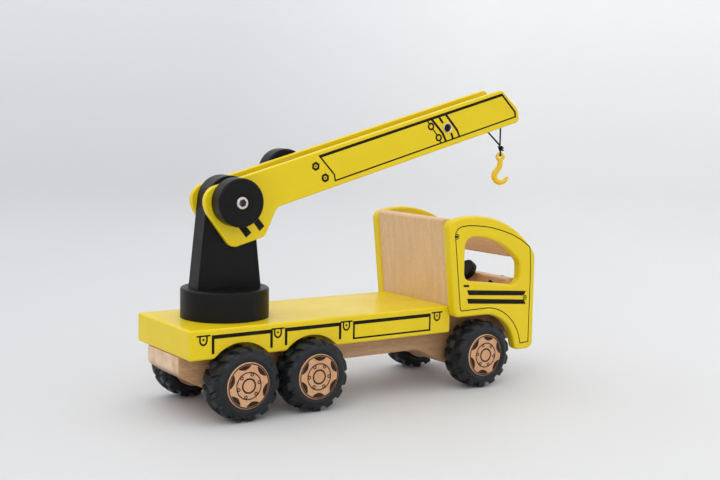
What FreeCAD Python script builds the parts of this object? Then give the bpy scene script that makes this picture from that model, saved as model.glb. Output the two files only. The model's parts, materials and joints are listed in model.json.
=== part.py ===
"""Wooden toy crane truck: six-wheel flatbed with a slewing, luffing crane and a hand winch.

Millimetres, +X to the front of the truck, +Y to its left, +Z up. The wheels stand on z = 0.
Lengths along the truck are measured from the rear end of the bed while the parts are made, and
the finished parts are then moved so that the origin is under the middle of the outline.
"""
import FreeCAD, Part
import math
import os

V = FreeCAD.Vector
UP = V(0, 0, 1)
LEFT = V(0, 1, 0)
AHEAD = V(1, 0, 0)

# wheels and axles
tyre_radius = 30.0
tyre_width = 26.0
tyre_shoulder = 4.0
tyre_wall_dish = 1.2
hub_radius = 18.8
hub_inner_face = 33.0
hub_boss_radius = 9.0
hub_edge = 0.8
wheel_outer_face = 61.2
axle_radius = 3.0
axle_end = 56.0
running_gap = 0.06
wheel_names = ("rear", "middle", "front")
axle_x = {"rear": 45.5, "middle": 110.4, "front": 285.6}

# bed and chassis
bed_length = 254.0
bed_width = 98.4
bed_bottom = 51.5
bed_thickness = 24.0
bed_edge = 1.8
arch_radius = 32.9
arch_depth = 18.0
arch_end_fillet = 4.5
chassis_width = 58.0
chassis_edge = 1.0
chassis_lobe_bottom = 19.0
chassis_middle_bottom = 34.4
bed_screw_x = (80.0, 138.0, 190.0, 236.0)
bed_screw_top = 66.0
bed_screw_head_bottom = 38.0
bed_screw_head_radius = 4.0
bed_screw_head_height = 2.0
bed_screw_radius = 1.8

# cab
panel_thickness = 10.0
panel_edge = 2.2
cab_front = 343.3
cab_foot = 30.5
cab_sill = 67.0
cab_lean = 0.108
cab_rear_at_bed = 250.1
cab_rear_top = 151.0
cab_arch_side_angle = 50.0
roof_radius = 90.0
roof_centre_x = 270.3
roof_centre_z = 65.0
front_arch_radius = 36.0
window_rear = 261.3
window_front = 325.5
window_sill_rear = 98.2
window_sill_front = 90.0
window_arc_radius = 71.5
window_edge = 2.0
back_panel_thickness = 12.0
back_panel_foot_x = 251.2
back_panel_top = 152.4
header_x = 318.0
header_depth = 11.0
header_bottom = 115.6
dash_x = 317.3
dash_depth = 11.5
dash_top = 95.5
dash_bottom = 40.0
floor_thickness = 9.0
headlight_y = 27.6
headlight_z = 88.0
headlight_radius = 7.0
headlight_peg_radius = 3.5
steering_radius = 9.6
steering_thickness = 6.5
steering_tilt = 35.0
steering_x = 311.0
steering_z = 98.0
column_radius = 2.5
column_length = 19.0
headlight_depth = 4.0
dowel_radius = 3.0
dowel_length = 16.0
back_dowel_z = (96.0, 134.0)
front_dowel_z = (52.0, 78.0)
header_dowel_z = 122.1
roof_inset = 3.0

# crane
crane_x = 55.7
slew_angle = -2.6
luff_angle = 16.0
turntable_radius = 36.5
turntable_height = 24.5
turntable_edge = 1.8
king_pin_radius = 6.0
king_pin_bottom = 61.9
king_pin_top = 94.0
washer_radius = 9.0
washer_thickness = 1.5
screw_head_radius = 4.5
screw_head_height = 3.0
screw_radius = 2.0
king_screw_reach = 22.0
recess_gap = 1.0
pivot_z = 171.4
tower_half_foot = 28.4
tower_top_radius = 20.6
tower_thickness = 20.0
tower_edge = 1.0
tower_dowel_x = 17.0
tower_dowel_radius = 4.0
tower_dowel_sink = 9.0
tower_dowel_rise = 14.0
plate_thickness = 5.3
plate_gap = 20.6
plate_half_height = 16.7
plate_edge = 1.2
pivot_bolt_radius = 4.0
knob_radius = 19.8
knob_thickness = 16.7
knob_edge = 2.0
bolt_head_radius = 5.0
bolt_head_height = 1.2
socket_radius = 3.3
socket_depth = 4.0
nut_radius = 6.0
nut_height = 4.0

# winch, cord and hook
winch_s = 69.5
winch_t = 2.0
winch_axle_radius = 4.0
winch_knob_gap = 2.5
winch_bore_depth = 12.0
winch_bush_radius = 8.0
turning_end_gap = 0.1
spool_width = 18.0
spool_radius = 5.6
spool_flange_radius = 12.0
spool_flange = 1.6
winding_radius = 8.4
winding_half_width = 3.4
nose_s = 288.0
nose_t = -4.0
nose_roller_radius = 3.0
nose_pin_radius = 1.5
guide_s = 262.2
guide_t = -10.2
guide_radius = 1.5
peg_sink = 3.5
spacer_s = 217.9
spacer_radius = 5.0
boom_screw_radius = 4.4
boom_screw_head = 1.6
boom_screw_start = 2.0
roller_end_gap = 0.4
cord_radius = 0.7
cord_half_spread = 0.75
cord_gap = 0.2
front_via_t = 7.0
rear_via_t = -7.0
arc_share = 0.45
knot_top = 215.4
knot_radius = 2.2
knot_half_height = 2.7
knot_overlap = 0.15
rear_foot_offset = 1.6
loop_ring_radius = 2.2
eye_z = 204.55
eye_ring_radius = 2.9
eye_wire_radius = 1.4
hook_wire_radius = 2.45
bowl_z = 186.6
bowl_ring_radius = 6.05
hook_twist = -31.4
hook_mouth_angle = 20.0

bed_top = bed_bottom + bed_thickness
half_bed = bed_width / 2
cab_outer = half_bed + panel_thickness
turntable_top = bed_top + turntable_height
plate_inner = plate_gap / 2
plate_outer = plate_inner + plate_thickness
floor_bottom = bed_top - floor_thickness
parts = {}


def rounded_wire(corners, y=0.0):
    """Closed wire in an XZ plane from (x, z, radius) corners, with each corner rounded by an arc."""
    count = len(corners)
    spans = []
    for i, (x, z, radius) in enumerate(corners):
        here = V(x, y, z)
        before = V(corners[i - 1][0], y, corners[i - 1][1]) - here
        after = V(corners[(i + 1) % count][0], y, corners[(i + 1) % count][1]) - here
        before.normalize()
        after.normalize()
        half = before.getAngle(after) / 2
        reach = radius / math.tan(half)
        inward = before + after
        inward.normalize()
        middle = here + inward * (radius / math.sin(half) - radius)
        spans.append((here + before * reach, middle, here + after * reach))
    edges = []
    for i, (start, middle, end) in enumerate(spans):
        last_end = spans[i - 1][2]
        if last_end.distanceToPoint(start) > 1e-4:
            edges.append(Part.LineSegment(last_end, start).toShape())
        edges.append(Part.Arc(start, middle, end).toShape())
    return Part.Wire(edges)


def slab(corners, y_low, y_high):
    """Flat board between two Y planes with a rounded outline."""
    face = Part.Face(rounded_wire(corners, y_low))
    return face.extrude(V(0, y_high - y_low, 0))


def soften(solid, radius, wanted):
    """Round the edges that the test accepts."""
    edges = [edge for edge in solid.Edges if wanted(edge)]
    return solid.makeFillet(radius, edges)


def on_side_plane(edge, y):
    """True if a whole edge lies in the plane at this Y."""
    box = edge.BoundBox
    return abs(box.YMin - y) < 1e-3 and abs(box.YMax - y) < 1e-3


def box(x_low, x_high, y_low, y_high, z_low, z_high):
    """Plain block between two corners."""
    return Part.makeBox(x_high - x_low, y_high - y_low, z_high - z_low, V(x_low, y_low, z_low))


def rod(radius, start, end):
    """Cylinder from one point to another."""
    along = end - start
    return Part.makeCylinder(radius, along.Length, start, along)


def cross_rod(radius, x, z, y_low, y_high):
    """Cylinder across the truck."""
    return Part.makeCylinder(radius, y_high - y_low, V(x, y_low, z), LEFT)


def turned(profile, x, z):
    """Solid of revolution about a line across the truck, from (radius, y) corners."""
    points = [V(x + radius, y, z) for radius, y in profile]
    face = Part.Face(Part.makePolygon(points + points[:1]))
    return face.revolve(V(x, 0, z), LEFT, 360)


def chassis():
    """Long beam with deep lobes round the axles."""
    low, mid, top = chassis_lobe_bottom, chassis_middle_bottom, bed_bottom
    outline = [
        (0.0, top, 0.5), (0.0, 37.5, 6), (14.0, 28.2, 14), (34.0, low, 16),
        (122.0, low, 16), (152.0, mid, 20), (234.0, mid, 20), (264.0, low, 16),
        (300.0, low, 10), (dash_x, 38.0, 5), (dash_x, top, 0.5),
    ]
    beam = slab(outline, -chassis_width / 2, chassis_width / 2)
    beam = soften(beam, chassis_edge, lambda e: any(
        on_side_plane(e, side * chassis_width / 2) and e.BoundBox.ZMin < top - 1 for side in (-1, 1)))
    for name in wheel_names:
        hole = cross_rod(axle_radius + running_gap, axle_x[name], tyre_radius, -bed_width, bed_width)
        beam = beam.cut(hole)
    return beam


def arch_cutter(x, y_low, y_high):
    """Solid that cuts one wheel arch: a big arc whose feet flare into the bed's underside."""
    foot_z = bed_bottom + arch_end_fillet
    foot_x = math.sqrt((arch_radius + arch_end_fillet) ** 2 - (foot_z - tyre_radius) ** 2)
    share = arch_radius / (arch_radius + arch_end_fillet)
    meet = V(foot_x * share, y_low, tyre_radius + (foot_z - tyre_radius) * share)
    inward = V(-foot_x, 0, tyre_radius - foot_z) + V(0, 0, -arch_radius - arch_end_fillet)
    inward.normalize()
    flare = V(foot_x, y_low, foot_z) + inward * arch_end_fillet
    foot = V(foot_x, y_low, bed_bottom)
    crown = V(0, y_low, tyre_radius + arch_radius)
    below = V(foot_x, y_low, bed_bottom - 1)

    def mirrored(point):
        return V(-point.x, point.y, point.z)

    edges = [
        Part.Arc(mirrored(meet), crown, meet).toShape(), Part.Arc(meet, flare, foot).toShape(),
        Part.LineSegment(foot, below).toShape(), Part.LineSegment(below, mirrored(below)).toShape(),
        Part.LineSegment(mirrored(below), mirrored(foot)).toShape(),
        Part.Arc(mirrored(foot), mirrored(flare), mirrored(meet)).toShape(),
    ]
    cutter = Part.Face(Part.Wire(edges)).extrude(V(0, y_high - y_low, 0))
    cutter.translate(V(x, 0, 0))
    return cutter


def bed():
    """Thick painted board with wheel arches cut into both sides and the turntable's bore."""
    board = box(0, bed_length, -half_bed, half_bed, bed_bottom, bed_top)
    board = board.makeFillet(bed_edge, board.Edges)
    for side in (-1, 1):
        for name in ("rear", "middle"):
            y_ends = sorted((side * (half_bed - arch_depth), side * (half_bed + 1)))
            board = board.cut(arch_cutter(axle_x[name], *y_ends))
    below = V(crane_x, 0, bed_bottom - 1)
    board = board.cut(rod(king_pin_radius + running_gap, below, V(crane_x, 0, bed_top + 1)))
    recess = rod(washer_radius + recess_gap, below, V(crane_x, 0, king_pin_bottom + turning_end_gap))
    return board.cut(recess)


def bed_screws():
    """Four wood screws up through the chassis into the bed, as one group."""
    screws = []
    for x in bed_screw_x:
        foot = V(x, 0, bed_screw_head_bottom)
        neck = foot + UP * bed_screw_head_height
        head = rod(bed_screw_head_radius, foot, neck)
        shank = rod(bed_screw_radius, neck, V(x, 0, bed_screw_top))
        screws.append(head.fuse(shank).removeSplitter())
    return screws


def screw_well(screw):
    """Hole under a bed screw, as wide as its head, down through the chassis."""
    span = screw.BoundBox
    x = (span.XMin + span.XMax) / 2
    return rod(span.XLength / 2, V(x, 0, 0), V(x, 0, span.ZMin + 0.001))


def lean_x(x_at_bed, z):
    """Where a line that leans back with the cab is at a height."""
    return x_at_bed - cab_lean * (z - bed_top)


def roof_z(x, radius=None):
    """Height of an arc that is concentric with the roof line."""
    radius = radius or roof_radius
    return roof_centre_z + math.sqrt(radius ** 2 - (x - roof_centre_x) ** 2)


def side_outline():
    """Cab side outline: leaning rear edge, domed roof line, front wheel arch."""
    rear_top_x = lean_x(cab_rear_at_bed, cab_rear_top)
    front_top = roof_z(cab_front)
    arch_foot_x = axle_x["front"] + math.sqrt(front_arch_radius ** 2 - (tyre_radius - cab_foot) ** 2)
    top = [V(rear_top_x, 0, roof_z(rear_top_x)), V(roof_centre_x, 0, roof_centre_z + roof_radius),
           V(cab_front, 0, front_top)]
    arch_top_x = axle_x["front"]
    arch_crown = tyre_radius + front_arch_radius
    side_angle = math.radians(cab_arch_side_angle)
    arch_side = V(arch_top_x + front_arch_radius * math.sin(side_angle), 0,
                  tyre_radius + front_arch_radius * math.cos(side_angle))
    sill_rear = V(lean_x(cab_rear_at_bed, arch_crown), 0, arch_crown)
    foot_rear = V(arch_foot_x, 0, cab_foot)
    foot_front = V(cab_front, 0, cab_foot)
    edges = [
        Part.Arc(*top).toShape(),
        Part.LineSegment(top[2], foot_front).toShape(),
        Part.LineSegment(foot_front, foot_rear).toShape(),
        Part.Arc(foot_rear, arch_side, V(arch_top_x, 0, arch_crown)).toShape(),
        Part.LineSegment(V(arch_top_x, 0, arch_crown), sill_rear).toShape(),
        Part.LineSegment(sill_rear, top[0]).toShape(),
    ]
    return Part.Face(Part.Wire(edges))


def window_outline():
    """Side window outline: arc under the roof line, sill that falls to the front."""
    top_rear = V(window_rear, 0, roof_z(window_rear, window_arc_radius))
    top_mid = V((window_rear + window_front) / 2, 0, 0)
    top_mid.z = roof_z(top_mid.x, window_arc_radius)
    top_front = V(window_front, 0, roof_z(window_front, window_arc_radius))
    sill_front = V(window_front, 0, window_sill_front)
    sill_rear = V(window_rear, 0, window_sill_rear)
    edges = [
        Part.Arc(top_rear, top_mid, top_front).toShape(),
        Part.LineSegment(top_front, sill_front).toShape(),
        Part.LineSegment(sill_front, sill_rear).toShape(),
        Part.LineSegment(sill_rear, top_rear).toShape(),
    ]
    return Part.Face(Part.Wire(edges))


def upright_edges(solid, radii):
    """Round the straight edges across the truck that stand at given (x, z) corners."""
    for (x, z), radius in radii:
        def here(edge, x=x, z=z):
            span = edge.BoundBox
            flat = span.XLength < 0.01 and span.ZLength < 0.01
            return flat and abs(span.XMin - x) < 0.5 and abs(span.ZMin - z) < 0.5
        solid = soften(solid, radius, here)
    return solid


def cab_side(side):
    """One painted cab side with its window, rounded all round on the outer and inner faces."""
    y_low, y_high = sorted((side * half_bed, side * cab_outer))
    board = side_outline().extrude(V(0, panel_thickness, 0))
    rear_top_x = lean_x(cab_rear_at_bed, cab_rear_top)
    arch_crown = tyre_radius + front_arch_radius
    arch_foot_x = axle_x["front"] + math.sqrt(front_arch_radius ** 2 - (tyre_radius - cab_foot) ** 2)
    board = upright_edges(board, [
        ((rear_top_x, roof_z(rear_top_x)), 7.0), ((cab_front, roof_z(cab_front)), 12.0),
        ((cab_front, cab_foot), 6.5), ((arch_foot_x, cab_foot), 5.5),
        ((lean_x(cab_rear_at_bed, arch_crown), arch_crown), 6.0)])
    hole = window_outline().extrude(V(0, panel_thickness, 0))
    hole = upright_edges(hole, [
        ((window_rear, roof_z(window_rear, window_arc_radius)), 9.0),
        ((window_front, roof_z(window_front, window_arc_radius)), 7.0),
        ((window_front, window_sill_front), 8.0), ((window_rear, window_sill_rear), 8.0)])
    board = board.cut(hole)
    board.translate(V(0, y_low, 0))
    outer = side * cab_outer
    return soften(board, panel_edge, lambda e: on_side_plane(e, outer) or on_side_plane(e, side * half_bed))


def back_panel():
    """Upright board behind the cab, leaning back with the sides."""
    foot, thick = back_panel_foot_x, back_panel_thickness
    outline = [
        (foot, bed_top, 0.3), (lean_x(foot, back_panel_top), back_panel_top, 2.5),
        (lean_x(foot, back_panel_top) + thick, back_panel_top, 2.5), (foot + thick, bed_top, 0.3),
    ]
    return slab(outline, -half_bed, half_bed)


def cab_floor():
    """Board across the cab in front of the bed, on which the back panel also stands."""
    return box(bed_length, dash_x, -half_bed, half_bed, floor_bottom, bed_top)


def cab_block():
    """Block that carries the cab floor on the chassis."""
    half = chassis_width / 2
    return box(bed_length, dash_x, -half, half, bed_bottom, floor_bottom)


def front_panel():
    """Upright front board under the windscreen, notched over the chassis end."""
    outline = [
        (dash_x, dash_bottom, 1.5), (dash_x, dash_top, 1.5),
        (dash_x + dash_depth, dash_top, 2.5), (dash_x + dash_depth, dash_bottom, 2.5),
    ]
    return slab(outline, -half_bed, half_bed)


def header_beam():
    """Rail over the windscreen, cut to the roof line."""
    high = roof_z(header_x) - roof_inset
    outline = [
        (header_x, header_bottom, 1.5), (header_x, high, 1.5),
        (header_x + header_depth, roof_z(header_x + header_depth) - roof_inset, 1.5),
        (header_x + header_depth, header_bottom, 1.5),
    ]
    return slab(outline, -half_bed, half_bed)


def headlight(side):
    """Turned lamp with a peg through the front panel."""
    y = side * headlight_y
    face_x = dash_x + dash_depth
    peg = rod(headlight_peg_radius, V(dash_x, y, headlight_z), V(face_x, y, headlight_z))
    lens_x = face_x + headlight_depth
    lens = rod(headlight_radius, V(face_x, y, headlight_z), V(lens_x, y, headlight_z))
    lens = soften(lens, 1.5, lambda e: abs(e.BoundBox.XMin - lens_x) < 1e-3)
    return peg.fuse(lens).removeSplitter()


def steering_frame():
    """Centre of the steering wheel and the direction of its column, down to the front."""
    tilt = math.radians(steering_tilt)
    return V(steering_x, 0, steering_z), V(math.cos(tilt), 0, -math.sin(tilt))


def steering_wheel():
    """Thick turned disc on a column."""
    centre, down = steering_frame()
    half = down * (steering_thickness / 2)
    disc = rod(steering_radius, centre - half, centre + half)
    return disc.makeFillet(1.0, [e for e in disc.Edges if e.Closed])


def steering_column():
    """Dowel from the wheel into the front panel."""
    centre, down = steering_frame()
    return rod(column_radius, centre + down * (steering_thickness / 2), centre + down * column_length)


def column_hole():
    """Running bore for the column in the front panel."""
    centre, down = steering_frame()
    return rod(column_radius + running_gap, centre, centre + down * (column_length + turning_end_gap))


def cab_dowels():
    """Hidden dowels that pin the cab sides to the boards between them, as one group."""
    spots = []
    for z in back_dowel_z:
        spots.append((lean_x(back_panel_foot_x, z) + back_panel_thickness / 2, z))
    for z in front_dowel_z:
        spots.append((dash_x + dash_depth / 2, z))
    spots.append((header_x + header_depth / 2, header_dowel_z))
    pins = []
    for side in (-1, 1):
        for x, z in spots:
            y_ends = sorted((side * (half_bed - dowel_length / 2), side * (half_bed + dowel_length / 2)))
            pins.append(cross_rod(dowel_radius, x, z, *y_ends))
    return pins


def hub(side, x):
    """Turned wooden hub with a boss on its inner face and a blind bore for the axle."""
    inner, outer = hub_inner_face, wheel_outer_face
    boss_face = chassis_width / 2 + 1.0
    profile = [
        (0, side * boss_face), (hub_boss_radius, side * boss_face), (hub_boss_radius, side * inner),
        (hub_radius, side * inner), (hub_radius, side * (outer - hub_edge)),
        (hub_radius - hub_edge, side * outer), (0, side * outer),
    ]
    solid = turned(profile, x, tyre_radius)
    y_ends = sorted((side * boss_face, side * axle_end))
    return solid.cut(cross_rod(axle_radius, x, tyre_radius, *y_ends))


def tyre(side, x):
    """Rubber ring on the hub, with rounded shoulders and slightly dished walls."""
    inner, outer = wheel_outer_face - tyre_width, wheel_outer_face
    profile = [
        (hub_radius, side * (inner + tyre_wall_dish)), (tyre_radius - tyre_shoulder, side * inner),
        (tyre_radius, side * (inner + tyre_shoulder)), (tyre_radius, side * (outer - tyre_shoulder)),
        (tyre_radius - tyre_shoulder, side * outer), (hub_radius, side * (outer - tyre_wall_dish)),
    ]
    solid = turned(profile, x, tyre_radius)
    return solid.makeFillet(1.5, [e for e in solid.Edges if e.Closed and e.Curve.Radius > hub_radius + 1])


def slewed(shape):
    """Turn a crane part, made about the crane's axis at x = 0, to where the crane stands."""
    moved = shape.copy()
    moved.rotate(V(0, 0, 0), UP, slew_angle)
    moved.translate(V(crane_x, 0, 0))
    return moved


def luffed(shape):
    """Lift a boom part, made level with the pivot at x = 0 and z = 0, to the boom's angle."""
    moved = shape.copy()
    moved.rotate(V(0, 0, 0), LEFT, -luff_angle)
    moved.translate(V(0, 0, pivot_z))
    return slewed(moved)


def boom_point(s, t):
    """Place of a point of the boom, in the crane's own plane before slewing."""
    angle = math.radians(luff_angle)
    forward = s * math.cos(angle) - t * math.sin(angle)
    return V(forward, 0, pivot_z + s * math.sin(angle) + t * math.cos(angle))


def turntable():
    """Thick turned disc with a blind bore for the king pin."""
    disc = rod(turntable_radius, V(0, 0, bed_top), V(0, 0, turntable_top))
    disc = soften(disc, turntable_edge, lambda e: e.Closed and e.BoundBox.ZMin > turntable_top - 1)
    return disc.cut(rod(king_pin_radius, V(0, 0, bed_top), V(0, 0, king_pin_top)))


def king_pin():
    """Dowel glued into the turntable that turns in the bed."""
    pin = rod(king_pin_radius, V(0, 0, king_pin_bottom), V(0, 0, king_pin_top))
    return pin.cut(rod(screw_radius, V(0, 0, king_pin_bottom), V(0, 0, king_pin_bottom + king_screw_reach)))


def king_washer():
    """Steel washer that holds the turntable down, in the recess under the bed."""
    low = king_pin_bottom - washer_thickness
    ring = rod(washer_radius, V(0, 0, low), V(0, 0, king_pin_bottom))
    return ring.cut(rod(screw_radius, V(0, 0, low), V(0, 0, king_pin_bottom)))


def king_screw():
    """Screw through the washer into the king pin."""
    head_top = king_pin_bottom - washer_thickness
    head = rod(screw_head_radius, V(0, 0, head_top - screw_head_height), V(0, 0, head_top))
    shank = rod(screw_radius, V(0, 0, head_top), V(0, 0, king_pin_bottom + king_screw_reach))
    return head.fuse(shank).removeSplitter()


def tower():
    """Tapered post with a round head about the boom's pivot."""
    foot = V(tower_half_foot, -tower_thickness / 2, turntable_top)
    pivot = V(0, -tower_thickness / 2, pivot_z)
    reach = pivot - foot
    turn = math.atan2(reach.z, reach.x) - math.asin(tower_top_radius / reach.Length)
    run = math.sqrt(reach.Length ** 2 - tower_top_radius ** 2)
    right = foot + V(math.cos(turn), 0, math.sin(turn)) * run
    left = V(-right.x, right.y, right.z)
    left_foot = V(-foot.x, foot.y, foot.z)
    crown = pivot + UP * tower_top_radius
    edges = [
        Part.LineSegment(left_foot, foot).toShape(), Part.LineSegment(foot, right).toShape(),
        Part.Arc(right, crown, left).toShape(), Part.LineSegment(left, left_foot).toShape(),
    ]
    post = Part.Face(Part.Wire(edges)).extrude(V(0, tower_thickness, 0))
    post = soften(post, tower_edge, lambda e: e.BoundBox.ZMax > turntable_top + 1)
    return post.cut(cross_rod(pivot_bolt_radius + running_gap, 0, pivot_z, -tower_thickness, tower_thickness))


def tower_dowels():
    """Two dowels that pin the tower to the turntable, as one group."""
    low, high = turntable_top - tower_dowel_sink, turntable_top + tower_dowel_rise
    return [rod(tower_dowel_radius, V(x, 0, low), V(x, 0, high)) for x in (-tower_dowel_x, tower_dowel_x)]


def boom_outline():
    """Boom plate outline about the pivot: parallel arm, cut-back nose and a deep heel under the knob."""
    h = plate_half_height
    return [
        (285.5, h, 5), (299.2, -4.5, 8), (298.4, -h, 5), (37.0, -h, 9), (20.0, -36.6, 8),
        (-12.0, -36.6, 9), (-24.6, -2.0, 20), (-25.0, h, 13.5),
    ]


def boom_plate(side):
    """One painted plate of the boom, with the bores for its bolt, pegs and winch axle."""
    y_low, y_high = sorted((side * plate_inner, side * plate_outer))
    plate = slab(boom_outline(), y_low, y_high)
    faces = (side * plate_outer, side * plate_inner)
    plate = soften(plate, plate_edge, lambda e: any(on_side_plane(e, y) for y in faces))
    plate = plate.cut(cross_rod(pivot_bolt_radius, 0, 0, y_low, y_high))
    sunk = side * (plate_inner + peg_sink)
    for s, t, radius in ((nose_s, nose_t, nose_pin_radius), (guide_s, guide_t, guide_radius)):
        plate = plate.cut(cross_rod(radius, s, t, *sorted((0, sunk))))
    plate = plate.cut(cross_rod(screw_radius, spacer_s, 0, y_low, y_high))
    bore = winch_axle_radius + running_gap
    end = plate_outer if side > 0 else -(plate_inner + peg_sink)
    return plate.cut(cross_rod(bore, winch_s, winch_t, *sorted((0, end))))


def boom_spacer():
    """Round spacer between the plates."""
    bar = cross_rod(spacer_radius, spacer_s, 0, -plate_inner, plate_inner)
    for side in (-1, 1):
        ends = sorted((side * boom_screw_start, side * plate_inner))
        bar = bar.cut(cross_rod(screw_radius, spacer_s, 0, *ends))
    return bar


def boom_screws():
    """Domed steel screws into both ends of the spacer, as one group."""
    screws = []
    crown = plate_outer + boom_screw_head
    for side in (-1, 1):
        shank = cross_rod(screw_radius, spacer_s, 0, *sorted((side * boom_screw_start, side * plate_outer)))
        head = cross_rod(boom_screw_radius, spacer_s, 0, *sorted((side * plate_outer, side * crown)))
        head = soften(head, 1.2, lambda e: on_side_plane(e, side * crown))
        screws.append(head.fuse(shank).removeSplitter())
    return screws


def guide_pin():
    """Steel pin across the boom that the rear fall of the cord runs over."""
    reach = plate_inner + peg_sink
    return cross_rod(guide_radius, guide_s, guide_t, -reach, reach)


def nose_pin():
    """Steel pin at the nose that carries the roller."""
    reach = plate_inner + peg_sink
    return cross_rod(nose_pin_radius, nose_s, nose_t, -reach, reach)


def nose_roller():
    """Roller on the nose pin that the front fall of the cord runs over."""
    half = plate_inner - roller_end_gap
    roller = cross_rod(nose_roller_radius, nose_s, nose_t, -half, half)
    return roller.cut(cross_rod(nose_pin_radius + running_gap, nose_s, nose_t, -half, half))


def pivot_knob():
    """Thick turned knob on the right of the boom's pivot."""
    y_low = -(plate_outer + knob_thickness)
    knob = cross_rod(knob_radius, 0, 0, y_low, -plate_outer)
    knob = knob.makeFillet(knob_edge, [e for e in knob.Edges if e.Closed])
    return knob.cut(cross_rod(pivot_bolt_radius + running_gap, 0, 0, y_low, -plate_outer))


def pivot_bolt():
    """Steel bolt with a hex socket through knob, plates and tower."""
    face = -(plate_outer + knob_thickness)
    bolt = cross_rod(pivot_bolt_radius, 0, 0, face, plate_outer)
    head = cross_rod(bolt_head_radius, 0, 0, face - bolt_head_height, face)
    head = soften(head, 0.8, lambda e: on_side_plane(e, face - bolt_head_height))
    key = Part.Face(Part.makePolygon([
        V(socket_radius * math.cos(math.radians(a)), face - 2, socket_radius * math.sin(math.radians(a)))
        for a in range(0, 361, 60)]))
    return bolt.fuse(head).removeSplitter().cut(key.extrude(V(0, socket_depth, 0)))


def pivot_nut():
    """Domed cap nut on the left end of the pivot bolt."""
    crown = plate_outer + nut_height
    nut = cross_rod(nut_radius, 0, 0, plate_outer, crown)
    return soften(nut, 1.5, lambda e: on_side_plane(e, crown))


def winch_axle():
    """Dowel from a blind bore in the right plate, through the spool, out to the winch knob."""
    start = -(plate_inner + peg_sink - turning_end_gap)
    end = plate_outer + winch_knob_gap + winch_bore_depth
    return cross_rod(winch_axle_radius, winch_s, winch_t, start, end)


def winch_spool():
    """Spool with two flanges between the plates."""
    half = spool_width / 2
    spool = cross_rod(spool_radius, winch_s, winch_t, -half, half)
    for side in (-1, 1):
        ends = sorted((side * half, side * (half - spool_flange)))
        spool = spool.fuse(cross_rod(spool_flange_radius, winch_s, winch_t, *ends))
    spool = spool.removeSplitter()
    return spool.cut(cross_rod(winch_axle_radius, winch_s, winch_t, -half, half))


def winch_bush():
    """Short collar between the left plate and the winch knob."""
    ends = (plate_outer + turning_end_gap, plate_outer + winch_knob_gap)
    collar = cross_rod(winch_bush_radius, winch_s, winch_t, *ends)
    return collar.cut(cross_rod(winch_axle_radius, winch_s, winch_t, *ends))


def winch_knob():
    """Thick turned knob that winds the cord."""
    y_low = plate_outer + winch_knob_gap
    knob = cross_rod(knob_radius, winch_s, winch_t, y_low, y_low + knob_thickness)
    knob = knob.makeFillet(knob_edge, [e for e in knob.Edges if e.Closed])
    return knob.cut(cross_rod(winch_axle_radius, winch_s, winch_t, y_low, y_low + winch_bore_depth))


def cord_winding():
    """Cord wound on the spool, as one closed ring."""
    ends = (-winding_half_width, winding_half_width)
    ring = cross_rod(winding_radius, winch_s, winch_t, *ends)
    return ring.cut(cross_rod(spool_radius, winch_s, winch_t, *ends))


def tangent_over(start, start_radius, centre, radius):
    """Touch points of the upper outside tangent of two circles in the (s, t) plane."""
    gap = (centre[0] - start[0], centre[1] - start[1])
    length = math.hypot(*gap)
    slope = math.atan2(gap[1], gap[0]) - math.asin((start_radius - radius) / length)
    normal = (-math.sin(slope), math.cos(slope))
    first = (start[0] + start_radius * normal[0], start[1] + start_radius * normal[1])
    last = (centre[0] + radius * normal[0], centre[1] + radius * normal[1])
    return first, last


def cord_tube(wire):
    """Round cord along a wire of straight runs and tangent arcs."""
    first = wire.Edges[0]
    start = first.valueAt(first.FirstParameter)
    along = first.tangentAt(first.FirstParameter)
    ring = Part.Wire(Part.makeCircle(cord_radius, start, along))
    tube = wire.makePipeShell([ring], True, False)
    share = tube.Volume / (math.pi * cord_radius ** 2 * wire.Length)
    print(f"cord {wire.Length:.2f} mm long, volume share {share:.4f}")
    return tube


def upper_run(peg_s, peg_t, peg_radius, via_t, y):
    """Cord from the winding past the spacer to the top of a peg, before luffing, and its last point."""
    via = (spacer_s, via_t)
    first, _ = tangent_over((winch_s, winch_t), winding_radius + cord_radius + cord_gap, via, 0)
    _, last = tangent_over(via, 0, (peg_s, peg_t), peg_radius + cord_radius + cord_gap)
    start, bend, end = (V(s, y, t) for s, t in (first, via, last))
    back = start - bend
    ahead = end - bend
    reach = arc_share * min(back.Length, ahead.Length)
    back.normalize()
    ahead.normalize()
    half = back.getAngle(ahead) / 2
    radius = reach * math.tan(half)
    inward = back + ahead
    inward.normalize()
    middle = bend + inward * (radius / math.sin(half) - radius)
    arc_start, arc_end = bend + back * reach, bend + ahead * reach
    print(f"cord run arc radius {radius:.1f} mm at the spacer")
    edges = [
        Part.LineSegment(start, arc_start).toShape(), Part.Arc(arc_start, middle, arc_end).toShape(),
        Part.LineSegment(arc_end, end).toShape(),
    ]
    return Part.Wire(edges), last


def cord_front_run():
    """Cord from the winding, over the spacer, to the nose roller."""
    wire, _ = upper_run(nose_s, nose_t, nose_roller_radius, front_via_t, cord_half_spread)
    return luffed(cord_tube(wire))


def cord_rear_run():
    """Cord from the winding, under the spacer, to the guide pin."""
    wire, _ = upper_run(guide_s, guide_t, guide_radius, rear_via_t, -cord_half_spread)
    return luffed(cord_tube(wire))


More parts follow.
